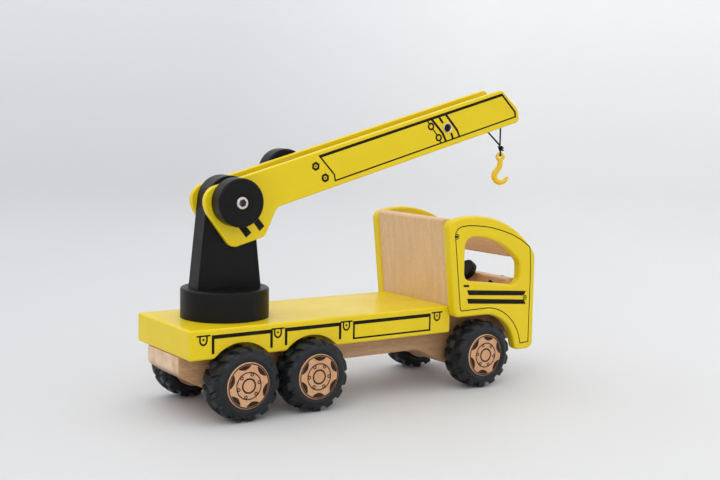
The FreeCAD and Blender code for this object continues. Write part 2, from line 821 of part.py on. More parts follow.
def fall_route(peg_s, peg_t, peg_radius, via_t, y, foot):
    """Arc over a peg and straight run down to a foot point, in the crane's plane before slewing."""
    _, top = upper_run(peg_s, peg_t, peg_radius, via_t, y)
    centre = boom_point(peg_s, peg_t)
    start = boom_point(*top)
    reach = peg_radius + cord_radius + cord_gap
    to_foot = foot - centre
    distance = math.hypot(to_foot.x, to_foot.z)
    bearing = math.atan2(to_foot.z, to_foot.x) + math.acos(reach / distance)
    begin = math.atan2(start.z - centre.z, start.x - centre.x)
    turns = (begin, (begin + bearing) / 2, bearing)
    points = [centre + V(math.cos(turn) * reach, y, math.sin(turn) * reach) for turn in turns]
    arc = Part.Arc(*points).toShape()
    fall = Part.LineSegment(points[2], V(foot.x, foot.y, foot.z)).toShape()
    print(f"cord arc radius {reach:.2f} mm about a peg")
    return Part.Wire([arc, fall])


def hang_x():
    """Distance of the hanging cord from the crane's axis."""
    return boom_point(nose_s, nose_t).x + nose_roller_radius + cord_radius + cord_gap


def cord_front_fall():
    """Front fall: over the nose roller and straight down to the knot."""
    foot = V(hang_x(), cord_half_spread, knot_top)
    wire = fall_route(nose_s, nose_t, nose_roller_radius, front_via_t, cord_half_spread, foot)
    return slewed(cord_tube(wire))


def cord_rear_fall():
    """Rear fall: over the guide pin and slanting down to the knot."""
    foot = V(hang_x() - rear_foot_offset, -cord_half_spread, knot_top)
    wire = fall_route(guide_s, guide_t, guide_radius, rear_via_t, -cord_half_spread, foot)
    return slewed(cord_tube(wire))


def cord_knot():
    """Knot that ties both falls above the hook."""
    knot = Part.makeSphere(knot_radius, V(0, 0, 0))
    grow = FreeCAD.Matrix()
    grow.scale(1.0, 1.0, knot_half_height / knot_radius)
    knot = knot.transformGeometry(grow)
    knot.translate(V(hang_x(), 0, knot_top - knot_overlap - knot_half_height))
    return slewed(knot)


def cord_loop():
    """Loop of cord under the knot that passes through the hook's eye."""
    ring = Part.makeTorus(loop_ring_radius, cord_radius, V(0, 0, eye_z + eye_ring_radius), AHEAD)
    ring.rotate(V(0, 0, 0), UP, hook_twist)
    ring.translate(V(hang_x(), 0, 0))
    return slewed(ring)


def hook():
    """Moulded hook: eye ring, short shank and open bowl, twisted on its cord."""
    eye = Part.makeTorus(eye_ring_radius, eye_wire_radius, V(0, 0, eye_z), LEFT)
    sweep = 270.0 - hook_mouth_angle
    bowl = Part.makeTorus(bowl_ring_radius, hook_wire_radius, V(0, 0, 0), UP, -180, 180, sweep)
    bowl.rotate(V(0, 0, 0), AHEAD, 90)
    bowl.rotate(V(0, 0, 0), LEFT, -90)
    bowl.translate(V(0, 0, bowl_z))
    shank_foot = V(0, 0, bowl_z + bowl_ring_radius)
    shank = rod(hook_wire_radius, shank_foot, V(0, 0, eye_z - eye_ring_radius))
    joint = Part.makeSphere(hook_wire_radius, shank_foot)
    body = eye.fuse([shank, joint, bowl]).removeSplitter()
    body.rotate(V(0, 0, 0), UP, hook_twist)
    body.translate(V(hang_x(), 0, 0))
    return slewed(body)


def add(name, *solids):
    """Keep one node: a single solid, or a group of separate ones."""
    parts[name] = solids[0] if len(solids) == 1 else Part.makeCompound(list(solids))


def make_truck():
    """Everything that belongs to the rolling base."""
    screws = bed_screws()
    dowels = cab_dowels()
    beam = chassis()
    board = bed()
    for screw in screws:
        beam = beam.cut(screw).cut(screw_well(screw))
        board = board.cut(screw)
    add("chassis", beam)
    add("bed", board)
    add("bed_screws", *screws)
    add("cab_block", cab_block())
    add("cab_floor", cab_floor())
    pinned = {
        "cab_side_right": cab_side(-1), "cab_side_left": cab_side(1), "cab_back_panel": back_panel(),
        "front_panel": front_panel(), "windscreen_header": header_beam(),
    }
    for name, solid in pinned.items():
        for pin in dowels:
            solid = solid.cut(pin)
        pinned[name] = solid
    lamps = {"headlight_right": headlight(-1), "headlight_left": headlight(1)}
    for lamp in lamps.values():
        pinned["front_panel"] = pinned["front_panel"].cut(lamp)
    pinned["front_panel"] = pinned["front_panel"].cut(column_hole())
    for name, solid in {**pinned, **lamps}.items():
        add(name, solid)
    add("cab_dowels", *dowels)
    add("steering_wheel", steering_wheel())
    add("steering_column", steering_column())


def make_wheels():
    """Three axles, each with two hubs and two tyres."""
    for name in wheel_names:
        x = axle_x[name]
        add(f"axle_{name}", cross_rod(axle_radius, x, tyre_radius, -axle_end, axle_end))
        for side, word in ((-1, "right"), (1, "left")):
            add(f"hub_{name}_{word}", hub(side, x))
            add(f"tyre_{name}_{word}", tyre(side, x))


def make_crane():
    """Turntable, tower, boom, winch, cord and hook."""
    dowels = tower_dowels()
    disc, post = turntable(), tower()
    for pin in dowels:
        disc = disc.cut(pin)
        post = post.cut(pin)
    slew_set = {
        "turntable": disc, "tower": post, "king_pin": king_pin(), "king_washer": king_washer(),
        "king_screw": king_screw(),
    }
    for name, solid in slew_set.items():
        add(name, slewed(solid))
    add("tower_dowels", *[slewed(pin) for pin in dowels])
    boom_set = {
        "boom_plate_right": boom_plate(-1), "boom_plate_left": boom_plate(1), "boom_spacer": boom_spacer(),
        "guide_pin": guide_pin(), "nose_pin": nose_pin(), "nose_roller": nose_roller(),
        "pivot_knob": pivot_knob(), "pivot_bolt": pivot_bolt(), "pivot_nut": pivot_nut(),
        "winch_axle": winch_axle(), "winch_spool": winch_spool(), "winch_bush": winch_bush(),
        "winch_knob": winch_knob(), "cord_winding": cord_winding(),
    }
    for name, solid in boom_set.items():
        add(name, luffed(solid))
    add("boom_screws", *[luffed(screw) for screw in boom_screws()])
    add("cord_front_run", cord_front_run())
    add("cord_rear_run", cord_rear_run())
    add("cord_front_fall", cord_front_fall())
    add("cord_rear_fall", cord_rear_fall())
    add("cord_knot", cord_knot())
    add("cord_loop", cord_loop())
    add("hook", hook())


def middle_of_outline():
    """Half-way point of the finished truck along its length."""
    boxes = [shape.optimalBoundingBox(False) for shape in parts.values()]
    return (min(b.XMin for b in boxes) + max(b.XMax for b in boxes)) / 2


make_truck()
make_wheels()
make_crane()
origin_x = middle_of_outline()
os.makedirs("parts", exist_ok=True)
for node, shape in parts.items():
    shape.translate(V(-origin_x, 0, 0))
    shape.exportStep(f"parts/{node}.step")
    print(f"{node}: {len(shape.Solids)} solid(s), valid {shape.isValid()}, {shape.Volume:.0f} mm3")
print(f"origin_x {origin_x:.3f}, nodes {len(parts)}")
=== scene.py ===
"""Looks of the wooden toy crane truck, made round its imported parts.

Metres, +X to the front of the truck, +Y to its left, +Z up. Sizes are written in millimetres times
MM. Print is laid on the flat faces as thin closed slabs of ink, tyres and cords are surfaces worked
out on grids, and every finish is a procedural material on Object coordinates.
"""

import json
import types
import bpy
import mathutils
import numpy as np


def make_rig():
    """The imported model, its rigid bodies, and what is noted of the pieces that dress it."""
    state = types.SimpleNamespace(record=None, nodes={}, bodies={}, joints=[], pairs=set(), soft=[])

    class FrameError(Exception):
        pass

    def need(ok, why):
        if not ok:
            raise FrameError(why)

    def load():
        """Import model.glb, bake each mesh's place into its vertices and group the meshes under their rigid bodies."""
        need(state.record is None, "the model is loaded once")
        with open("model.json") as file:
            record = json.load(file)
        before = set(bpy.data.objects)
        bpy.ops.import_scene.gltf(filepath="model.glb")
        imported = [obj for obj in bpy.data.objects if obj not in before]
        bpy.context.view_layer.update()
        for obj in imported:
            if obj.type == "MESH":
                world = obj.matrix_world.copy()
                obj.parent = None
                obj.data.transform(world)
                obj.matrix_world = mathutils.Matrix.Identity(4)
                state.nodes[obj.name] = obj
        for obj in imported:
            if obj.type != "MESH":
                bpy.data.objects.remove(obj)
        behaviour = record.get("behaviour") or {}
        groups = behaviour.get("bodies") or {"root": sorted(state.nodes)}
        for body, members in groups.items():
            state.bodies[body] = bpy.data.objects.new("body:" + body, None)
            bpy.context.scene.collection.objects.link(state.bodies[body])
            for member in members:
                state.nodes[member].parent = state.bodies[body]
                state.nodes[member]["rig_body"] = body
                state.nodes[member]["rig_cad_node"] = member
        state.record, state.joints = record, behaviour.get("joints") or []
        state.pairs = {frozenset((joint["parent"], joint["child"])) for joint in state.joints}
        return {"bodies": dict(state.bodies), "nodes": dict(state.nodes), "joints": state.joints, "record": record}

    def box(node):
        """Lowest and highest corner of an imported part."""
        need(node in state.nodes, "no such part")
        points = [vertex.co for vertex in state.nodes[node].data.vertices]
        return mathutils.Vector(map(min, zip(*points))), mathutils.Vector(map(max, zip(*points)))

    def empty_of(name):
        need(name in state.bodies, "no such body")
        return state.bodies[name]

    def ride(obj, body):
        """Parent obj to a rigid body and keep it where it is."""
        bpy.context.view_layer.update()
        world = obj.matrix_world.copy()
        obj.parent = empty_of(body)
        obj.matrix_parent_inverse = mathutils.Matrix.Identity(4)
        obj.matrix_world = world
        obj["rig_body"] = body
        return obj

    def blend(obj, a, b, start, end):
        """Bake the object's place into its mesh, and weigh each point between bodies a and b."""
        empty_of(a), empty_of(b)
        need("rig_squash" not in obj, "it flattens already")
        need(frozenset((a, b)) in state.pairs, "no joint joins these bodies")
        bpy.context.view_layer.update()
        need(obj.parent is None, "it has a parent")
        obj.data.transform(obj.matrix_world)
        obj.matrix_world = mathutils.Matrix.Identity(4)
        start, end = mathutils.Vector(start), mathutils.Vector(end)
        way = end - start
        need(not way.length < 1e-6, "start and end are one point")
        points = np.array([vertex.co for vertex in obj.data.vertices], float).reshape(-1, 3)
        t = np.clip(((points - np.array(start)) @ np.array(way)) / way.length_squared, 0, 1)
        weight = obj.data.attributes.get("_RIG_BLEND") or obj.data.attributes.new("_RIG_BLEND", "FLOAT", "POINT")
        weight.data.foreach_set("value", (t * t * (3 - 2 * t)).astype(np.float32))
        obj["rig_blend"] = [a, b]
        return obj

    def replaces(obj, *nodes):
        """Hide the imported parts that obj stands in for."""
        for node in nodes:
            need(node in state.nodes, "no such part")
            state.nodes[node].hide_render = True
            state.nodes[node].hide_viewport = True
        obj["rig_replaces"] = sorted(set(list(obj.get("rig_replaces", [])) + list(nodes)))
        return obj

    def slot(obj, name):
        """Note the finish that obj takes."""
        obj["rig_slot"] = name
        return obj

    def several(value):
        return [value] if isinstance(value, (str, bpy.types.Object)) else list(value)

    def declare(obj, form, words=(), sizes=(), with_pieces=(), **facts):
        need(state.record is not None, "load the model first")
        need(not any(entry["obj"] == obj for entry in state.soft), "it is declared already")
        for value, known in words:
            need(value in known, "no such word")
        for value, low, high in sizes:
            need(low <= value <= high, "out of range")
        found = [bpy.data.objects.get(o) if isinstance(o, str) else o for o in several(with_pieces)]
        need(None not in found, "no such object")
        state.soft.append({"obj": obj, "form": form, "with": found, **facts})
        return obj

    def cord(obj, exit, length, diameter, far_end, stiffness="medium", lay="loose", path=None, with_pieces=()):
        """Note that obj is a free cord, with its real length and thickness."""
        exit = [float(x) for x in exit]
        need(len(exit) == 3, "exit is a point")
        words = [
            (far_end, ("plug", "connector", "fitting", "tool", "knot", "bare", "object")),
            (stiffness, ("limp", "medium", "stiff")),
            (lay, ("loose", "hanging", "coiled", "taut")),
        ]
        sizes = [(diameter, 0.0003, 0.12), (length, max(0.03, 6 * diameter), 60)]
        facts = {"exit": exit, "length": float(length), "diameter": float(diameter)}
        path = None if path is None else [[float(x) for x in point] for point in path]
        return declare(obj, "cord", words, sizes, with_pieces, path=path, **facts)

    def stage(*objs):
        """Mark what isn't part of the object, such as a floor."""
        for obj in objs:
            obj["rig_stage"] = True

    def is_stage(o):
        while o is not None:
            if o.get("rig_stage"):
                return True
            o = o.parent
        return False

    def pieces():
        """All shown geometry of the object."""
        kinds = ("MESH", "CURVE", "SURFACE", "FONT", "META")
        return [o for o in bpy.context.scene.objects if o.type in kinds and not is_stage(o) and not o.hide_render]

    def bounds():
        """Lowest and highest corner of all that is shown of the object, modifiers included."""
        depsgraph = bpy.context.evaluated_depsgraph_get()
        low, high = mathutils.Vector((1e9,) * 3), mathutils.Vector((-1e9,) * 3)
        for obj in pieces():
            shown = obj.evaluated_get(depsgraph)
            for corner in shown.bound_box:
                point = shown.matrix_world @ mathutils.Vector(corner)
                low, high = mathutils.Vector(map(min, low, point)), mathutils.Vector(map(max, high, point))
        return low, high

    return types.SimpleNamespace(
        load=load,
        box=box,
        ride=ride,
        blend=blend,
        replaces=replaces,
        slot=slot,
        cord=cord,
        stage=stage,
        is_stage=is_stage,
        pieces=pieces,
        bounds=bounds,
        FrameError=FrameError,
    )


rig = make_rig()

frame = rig.load()

import json
import logging
import math
from dataclasses import dataclass, field
from enum import Enum

import bmesh
import bpy
import numpy as np
from mathutils import Matrix

MM = 0.001
UP = np.array([0, 0, 1.0])
CAD_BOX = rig.bounds()
SIZE_FILE = "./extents.json"
SIDES = {"right": -1.0, "left": 1.0}
TYRE_SHARP = 28.0
CORD_SHARP = 60.0
ALL_SMOOTH = 180.0
LOG = logging.getLogger("crane_truck")
Array = np.ndarray
Socket = bpy.types.NodeSocket
Colour = tuple[float, float, float, float]


def turn(degrees: Array | float) -> Array:
    """Unit vectors for angles: the cosine and the sine of each, as rows.

    Args:
        degrees: one angle or a list of them.

    Returns:
        Array of shape (n, 2).
    """
    angle = np.radians(np.atleast_1d(np.asarray(degrees, float)))
    return np.stack([np.cos(angle), np.sin(angle)], axis=1)


def unit(vectors: Array) -> Array:
    """Vectors along the last axis, scaled to length one."""
    return vectors / np.linalg.norm(vectors, axis=-1, keepdims=True)


def circle(count: int) -> Array:
    """Angles in radians, evenly round a circle, without the last one."""
    return np.linspace(0, 2 * math.pi, count, endpoint=False)


def travelled(line: Array) -> Array:
    """Distance along a line up to each of its points, from zero."""
    return np.concatenate([[0], np.cumsum(np.linalg.norm(np.diff(line, axis=0), axis=1))])


def corners(node: str) -> tuple[Array, Array]:
    """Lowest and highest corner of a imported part's box."""
    low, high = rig.box(node)
    return np.array(low), np.array(high)


def face_plane(node: str, side: str, middle: Array) -> "Plane":
    """Outer face of an upright part, with X across and Z up.

    Args:
        node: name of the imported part.
        side: which side of the truck it faces.
        middle: a point, in metres, whose X and Z give the plane's origin.

    Returns:
        The plane, through the part's outermost points on that side.
    """
    low, high = corners(node)
    face = high[1] if side == "left" else low[1]
    return Plane(np.array([middle[0], face, middle[2]]), np.array([1.0, 0, 0]), UP,
                 np.array([0, SIDES[side], 0]))


def ease(value: Array, low: float, high: float) -> Array:
    """Smooth step from 0 at low to 1 at high: 3u^2 - 2u^3 of the clipped share u.

    Args:
        value: where to read the step.
        low: where it starts.
        high: where it ends.

    Returns:
        The step at each value.
    """
    share = np.clip((value - low) / (high - low), 0.0, 1.0)
    return share * share * (3.0 - 2.0 * share)


class Shell:
    """Collects closed surfaces and turns them into one mesh object."""

    def __init__(self, name: str) -> None:
        """Start an empty shell.

        Args:
            name: name of the object to make.
        """
        self.name = name
        self.points: list[Array] = []
        self.faces: list[list[int]] = []
        self.count = 0

    def grid(self, points: Array, round_v: bool = True, round_u: bool = False) -> None:
        """Add a surface given as a grid of points, u by v.

        The surface joins each point to its neighbours. Where v is round the last column meets the
        first, and open ends in u are closed by one face each.

        Args:
            points: array of shape (u, v, 3).
            round_v: whether the surface closes on itself along v.
            round_u: whether the surface closes on itself along u.
        """
        rows, columns, _ = points.shape
        index = np.arange(rows * columns).reshape(rows, columns) + self.count
        here = index if round_u else index[:-1]
        there = np.roll(index, -1, axis=0) if round_u else index[1:]
        if not round_v:
            right_here, right_there = here[:, 1:], there[:, 1:]
            here, there = here[:, :-1], there[:, :-1]
        else:
            right_here, right_there = np.roll(here, -1, axis=1), np.roll(there, -1, axis=1)
        quads = np.stack([here, right_here, right_there, there], axis=-1).reshape(-1, 4)
        self.faces += quads.tolist()
        if round_v and not round_u:
            self.faces += [index[0].tolist(), index[-1][::-1].tolist()]
        self.points.append(points.reshape(-1, 3))
        self.count += rows * columns

    def slab(self, low: Array, high: Array) -> None:
        """Add a flat closed slab from two matching outlines.

        Args:
            low: outline on the lower face, shape (n, 3).
            high: the same outline on the upper face.
        """
        self.grid(np.stack([low, high]))

    def make(self, finish: bpy.types.Material, sharp: float = 35.0) -> bpy.types.Object:
        """Make the mesh object, with its faces outward and its sharp edges marked.

        Args:
            finish: material of the whole piece.
            sharp: edges that turn more than this many degrees stay sharp.

        Returns:
            The new object, at the origin.
        """
        mesh = bpy.data.meshes.new(self.name)
        mesh.from_pydata(np.concatenate(self.points).tolist(), [], self.faces)
        work = bmesh.new()
        work.from_mesh(mesh)
        bmesh.ops.recalc_face_normals(work, faces=work.faces)
        work.to_mesh(mesh)
        work.free()
        mesh.polygons.foreach_set("use_smooth", np.ones(len(mesh.polygons), bool))
        mesh.set_sharp_from_angle(angle=math.radians(sharp))
        mesh.materials.append(finish)
        piece = bpy.data.objects.new(self.name, mesh)
        bpy.context.scene.collection.objects.link(piece)
        LOG.info("%s: %d faces", self.name, len(mesh.polygons))
        return piece


def fit(piece: bpy.types.Object, body: str, slot: str, stands_for: str | None = None) -> bpy.types.Object:
    """Let a piece ride on a body, in a slot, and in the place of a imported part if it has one.

    Args:
        piece: the new piece.
        body: body that it moves with.
        slot: slot of its finish.
        stands_for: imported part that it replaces.

    Returns:
        The same piece.
    """
    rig.ride(piece, body)
    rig.slot(piece, slot)
    if stands_for:
        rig.replaces(piece, stands_for)
    return piece


@dataclass(frozen=True)
class Plane:
    """A flat face of the truck that print lies on, with its own two directions."""

    origin: Array
    across: Array
    up: Array
    outward: Array

    def place(self, flat: Array, height: float) -> Array:
        """Points of the plane in space.

        Args:
            flat: (across, up) places in millimetres, shape (n, 2).
            height: how far above the face, in metres.

        Returns:
            Array of shape (n, 3), in metres.
        """
        flat = np.asarray(flat, float) * MM
        return self.origin + flat[:, :1] * self.across + flat[:, 1:] * self.up + height * self.outward


@dataclass
class Print:
    """Ink shapes on one flat face, each a thin closed slab that is sunk a little into the face."""

    name: str
    plane: Plane
    rise: float = 0.05 * MM
    sink: float = 0.03 * MM
    least_bend: float = 0.02
    shell: Shell = field(init=False)

    def __post_init__(self) -> None:
        """Start the shell that holds the print."""
        self.shell = Shell(self.name)

    def fill(self, outline: Array) -> None:
        """Print a filled shape from its outline, in millimetres."""
        self.shell.slab(self.plane.place(outline, -self.sink), self.plane.place(outline, self.rise))

    def band(self, points: Array, width: Array | float, closed: bool = False) -> None:
        """Print a line of given width along points.

        Each corner of the line's edge is where the offset lines of its two runs cross, so runs of
        different widths still meet in clean mitres.

        Args:
            points: places along the line, shape (n, 2), in millimetres.
            width: width of each run, or one width for all.
            closed: whether the line ends where it starts.
        """
        points = np.asarray(points, float)
        runs = len(points) if closed else len(points) - 1
        half = np.broadcast_to(np.asarray(width, float) / 2, (runs,))
        steps = unit(np.roll(points, -1, axis=0)[:runs] - points[:runs])
        normals = np.stack([-steps[:, 1], steps[:, 0]], axis=1)
        if closed:
            before, after = np.roll(normals, 1, axis=0), normals
            half_before, half_after = np.roll(half, 1), half
        else:
            before = np.concatenate([normals[:1], normals])
            after = np.concatenate([normals, normals[-1:]])
            half_before = np.concatenate([half[:1], half])
            half_after = np.concatenate([half, half[-1:]])
        bend = before[:, 0] * after[:, 1] - before[:, 1] * after[:, 0]
        straight = np.abs(bend) < self.least_bend
        safe = np.where(straight, 1.0, bend)
        crossing = np.stack([
            (half_before * after[:, 1] - half_after * before[:, 1]) / safe,
            (half_after * before[:, 0] - half_before * after[:, 0]) / safe], axis=1)
        mean = unit(before + after) * ((half_before + half_after) / 2)[:, None]
        offset = np.where(straight[:, None], mean, crossing)
        sides = (points + offset, points - offset)
        section = [self.plane.place(sides[0], self.rise), self.plane.place(sides[1], self.rise),
                   self.plane.place(sides[1], -self.sink), self.plane.place(sides[0], -self.sink)]
        self.shell.grid(np.stack(section, axis=1), round_u=closed)

    def ring(self, centre: tuple[float, float], radius: float, width: float, points: int = 96) -> None:
        """Print a circle line.

        Args:
            centre: its centre, in millimetres.
            radius: radius of the middle of the line.
            width: width of the line.
            points: corners around.
        """
        angles = np.linspace(0, 360, points, endpoint=False)
        self.band(np.asarray(centre) + radius * turn(angles), width, closed=True)

    def dot(self, centre: tuple[float, float], radius: float, points: int = 20) -> None:
        """Print a filled disc.

        Args:
            centre: its centre, in millimetres.
            radius: its radius.
            points: corners around.
        """
        angles = np.linspace(0, 360, points, endpoint=False)
        self.fill(np.asarray(centre) + radius * turn(angles))

    def make(self, body: str, slot: str, finish: bpy.types.Material) -> bpy.types.Object:
        """Make the print's object and let it ride on a body.

        Args:
            body: body that the face belongs to.
            slot: slot of the print's finish.
            finish: the ink.

        Returns:
            The print.
        """
        return fit(self.shell.make(finish), body, slot)


class Tree:
    """A node tree with short calls to add and link nodes."""

    def __init__(self, tree: bpy.types.NodeTree) -> None:
        """Work on one material's or group's tree."""
        self.tree = tree

    def feed(self, node: bpy.types.Node, inputs: dict[str | int, object]) -> None:
        """Link or set a node's inputs.

        Args:
            node: the node.
            inputs: a value, or a socket to link from, for each input.
        """
        for name, value in inputs.items():
            if isinstance(value, Socket):
                self.tree.links.new(value, node.inputs[name])
            else:
                node.inputs[name].default_value = value

    def add(self, kind: str, inputs: dict[str | int, object] | None = None,
            **settings: object) -> bpy.types.Node:
        """Add a node.

        Args:
            kind: Blender's type name of the node, without the ShaderNode in front.
            inputs: values, or sockets to link from, for the node's inputs.
            **settings: properties of the node.

        Returns:
            The new node.
        """
        node = self.tree.nodes.new("ShaderNode" + kind)
        for name, value in settings.items():
            setattr(node, name, value)
        self.feed(node, inputs or {})
        return node

    def maths(self, operation: str, first: object, second: object = 0.0, third: object = 0.0) -> Socket:
        """Work out a sum, product or the like.

        Args:
            operation: Blender's name of the operation.
            first: first value or socket.
            second: second one.
            third: third one, where the operation takes three.

        Returns:
            Socket of the result.
        """
        return self.add("Math", {0: first, 1: second, 2: third}, operation=operation).outputs[0]

    def blend(self, share: object, first: object, second: object, how: str = "MIX") -> Socket:
        """Mix two colours.

        Args:
            share: how much of the second colour.
            first: first colour or socket.
            second: second one.
            how: Blender's name of the blend.

        Returns:
            Socket of the mixed colour.
        """
        node = self.add("Mix", data_type="RGBA", blend_type=how)
        self.feed(node, {0: share, 6: first, 7: second})
        return node.outputs[2]

    def noise(self, where: object, scale: object, detail: float, rough: float = 0.5) -> Socket:
        """Read a noise texture.

        Args:
            where: socket of the coordinates.
            scale: patterns per unit of the coordinates.
            detail: octaves.
            rough: how much each octave adds.

        Returns:
            Socket of its value, from 0 to 1.
        """
        node = self.add("TexNoise", {"Scale": scale, "Detail": detail, "Roughness": rough, "Vector": where})
        return node.outputs["Fac"]

    def spread(self, value: object, low: float, high: float, to_low: object = 0.0,
               to_high: object = 1.0) -> Socket:
        """Move a value from one range to another, clipped at its ends.

        Args:
            value: socket of the value.
            low: start of its range.
            high: end of its range.
            to_low: what the start becomes.
            to_high: what the end becomes.

        Returns:
            Socket of the moved value.
        """
        node = self.add("MapRange", {0: value, 1: low, 2: high, 3: to_low, 4: to_high})
        return node.outputs[0]


def colour(red: float, green: float, blue: float) -> Colour:
    """Opaque linear colour."""
    return red, green, blue, 1.0


class Effect:
    """Base of the shared shader groups: built once, then placed in each material that uses it."""

    name = "effect"
    inputs: tuple[tuple[str, str, object], ...] = ()
    outputs: tuple[tuple[str, str], ...] = ()

    @classmethod
    def group(cls) -> bpy.types.NodeTree:
        """Make the effect's node group on first use.

        Returns:
            The group, the same one each time.
        """
        found = bpy.data.node_groups.get(cls.name)
        if found:
            return found
        made = bpy.data.node_groups.new(cls.name, "ShaderNodeTree")
        for label, kind, value in cls.inputs:
            socket = made.interface.new_socket(label, in_out="INPUT", socket_type="NodeSocket" + kind)
            if value is not None:
                socket.default_value = value
        for label, kind in cls.outputs:
            made.interface.new_socket(label, in_out="OUTPUT", socket_type="NodeSocket" + kind)
        tree = Tree(made)
        source = made.nodes.new("NodeGroupInput").outputs
        target = made.nodes.new("NodeGroupOutput").inputs
        for label, socket in cls.build(tree, source).items():
            made.links.new(socket, target[label])
        return made

    @classmethod
    def build(cls, tree: Tree, source: object) -> dict[str, Socket]:
        """Add the effect's nodes to its group.

        Args:
            tree: the group's tree.
            source: the group's inputs by name.

        Returns:
            The socket for each named output.
        """
        raise NotImplementedError

    @classmethod
    def place(cls, tree: Tree, inputs: dict[str, object]) -> object:
        """Place the effect in a material with its own values.

        Args:
            tree: the material's tree.
            inputs: a value or a socket for each input that isn't left as it is.

        Returns:
            The outputs by name.
        """
        node = tree.tree.nodes.new("ShaderNodeGroup")
        node.node_tree = cls.group()
        tree.feed(node, inputs)
        return node.outputs


class WoodGrain(Effect):
    """Long grain: broad bands, fine fibres and short dark pores, all drawn out along one axis."""

    name = "wood_grain"
    inputs = (("Vector", "Vector", None), ("Light", "Color", colour(0.7, 0.45, 0.25)),
              ("Dark", "Color", colour(0.5, 0.28, 0.13)), ("Pores", "Float", 0.4))
    outputs = (("Color", "Color"), ("Height", "Float"))

    @classmethod
    def build(cls, tree: Tree, source: object) -> dict[str, Socket]:
        """Noise at three widths on coordinates that are already drawn out along the grain.

        Args:
            tree: the group's tree.
            source: the group's inputs by name.

        Returns:
            The colour, and the height of the fibres and pores.
        """
        bands = tree.noise(source["Vector"], 0.9, 3.0)
        fibres = tree.noise(source["Vector"], 9.0, 3.0, 0.65)
        pores = tree.noise(source["Vector"], 26.0, 1.0, 0.4)
        broad = tree.spread(bands, 0.32, 0.68)
        fine = tree.spread(fibres, 0.35, 0.68)
        share = tree.maths("MULTIPLY_ADD", fine, 0.6, tree.maths("MULTIPLY", broad, 0.4))
        base = tree.blend(share, source["Light"], source["Dark"])
        spots = tree.maths("MULTIPLY", tree.spread(pores, 0.62, 0.74), source["Pores"])
        dark = tree.blend(1.0, source["Dark"], colour(0.55, 0.45, 0.38), "MULTIPLY")
        height = tree.maths("SUBTRACT", tree.maths("MULTIPLY", fine, -0.4), spots)
        return {"Color": tree.blend(spots, base, dark), "Height": height}


class Mottle(Effect):
    """Slow uneven tone with a fine grit on top."""

    name = "mottle"
    inputs = (("Vector", "Vector", None), ("Coarse", "Float", 40.0), ("Fine", "Float", 900.0))
    outputs = (("Tone", "Float"), ("Grit", "Float"))

    @classmethod
    def build(cls, tree: Tree, source: object) -> dict[str, Socket]:
        """One noise for the tone and a finer one for the grit.

        Args:
            tree: the group's tree.
            source: the group's inputs by name.

        Returns:
            The tone and the grit.
        """
        tone = tree.noise(source["Vector"], source["Coarse"], 3.0)
        grit = tree.noise(source["Vector"], source["Fine"], 2.0)
        return {"Tone": tree.spread(tone, 0.3, 0.7), "Grit": grit}


class EdgeSheen(Effect):
    """Mask that is one on outside edges, where the finishes lay a painted highlight: how far a rounded normal leans
    from the true one.
    """

    name = "edge_sheen"
    inputs = (("Width", "Float", 0.0006), ("Vector", "Vector", None))
    outputs = (("Mask", "Float"),)

    @classmethod
    def build(cls, tree: Tree, source: object) -> dict[str, Socket]:
        """One minus the dot product of both normals, broken up by a noise.

        Args:
            tree: the group's tree.
            source: the group's inputs by name.

        Returns:
            The mask.
        """
        bevel = tree.add("Bevel", {"Radius": source["Width"]}, samples=3)
        true = tree.add("NewGeometry").outputs["Normal"]
        lean = tree.add("VectorMath", {0: bevel.outputs[0], 1: true}, operation="DOT_PRODUCT")
        mask = tree.spread(lean.outputs["Value"], 0.99, 0.8)
        broken = tree.spread(tree.noise(source["Vector"], 260.0, 2.0), 0.3, 0.6, 0.35, 1.0)
        return {"Mask": tree.maths("MULTIPLY", mask, broken)}


class Grain(Enum):
    """Which way the wood's fibres run: scale of the pattern along X, Y and Z, per metre."""

    ALONG = (14.0, 210.0, 210.0)
    ACROSS = (210.0, 14.0, 210.0)
    UPRIGHT = (210.0, 210.0, 14.0)


@dataclass(frozen=True)
class Finish:
    """Base of the finishes: a name and the Principled values that are the same all over."""

    name: str
    roughness: float = 0.5
    specular: float = 0.5
    coat: float = 0.0
    coat_roughness: float = 0.2

    def start(self) -> tuple[bpy.types.Material, Tree, bpy.types.Node, Socket]:
        """Make the material with its shader.

        Returns:
            The material, its tree, its shader and the Object coordinates.
        """
        material = bpy.data.materials.new(self.name)
        material.use_nodes = True
        tree = Tree(material.node_tree)
        shader = material.node_tree.nodes["Principled BSDF"]
        shader.inputs["Roughness"].default_value = self.roughness
        shader.inputs["Specular IOR Level"].default_value = self.specular
        shader.inputs["Coat Weight"].default_value = self.coat
        shader.inputs["Coat Roughness"].default_value = self.coat_roughness
        where = tree.add("TexCoord").outputs["Object"]
        return material, tree, shader, where

    def bump(self, tree: Tree, shader: bpy.types.Node, height: object, strength: float, depth: float) -> None:
        """Feed a height into the shader's normal.

        Args:
            tree: the material's tree.
            shader: its shader.
            height: socket with the height, around one high.
            strength: strength of the bump.
            depth: how deep a height of one is, in metres.
        """
        node = tree.add("Bump", {"Strength": strength, "Distance": depth, "Height": height})
        tree.tree.links.new(node.outputs[0], shader.inputs["Normal"])


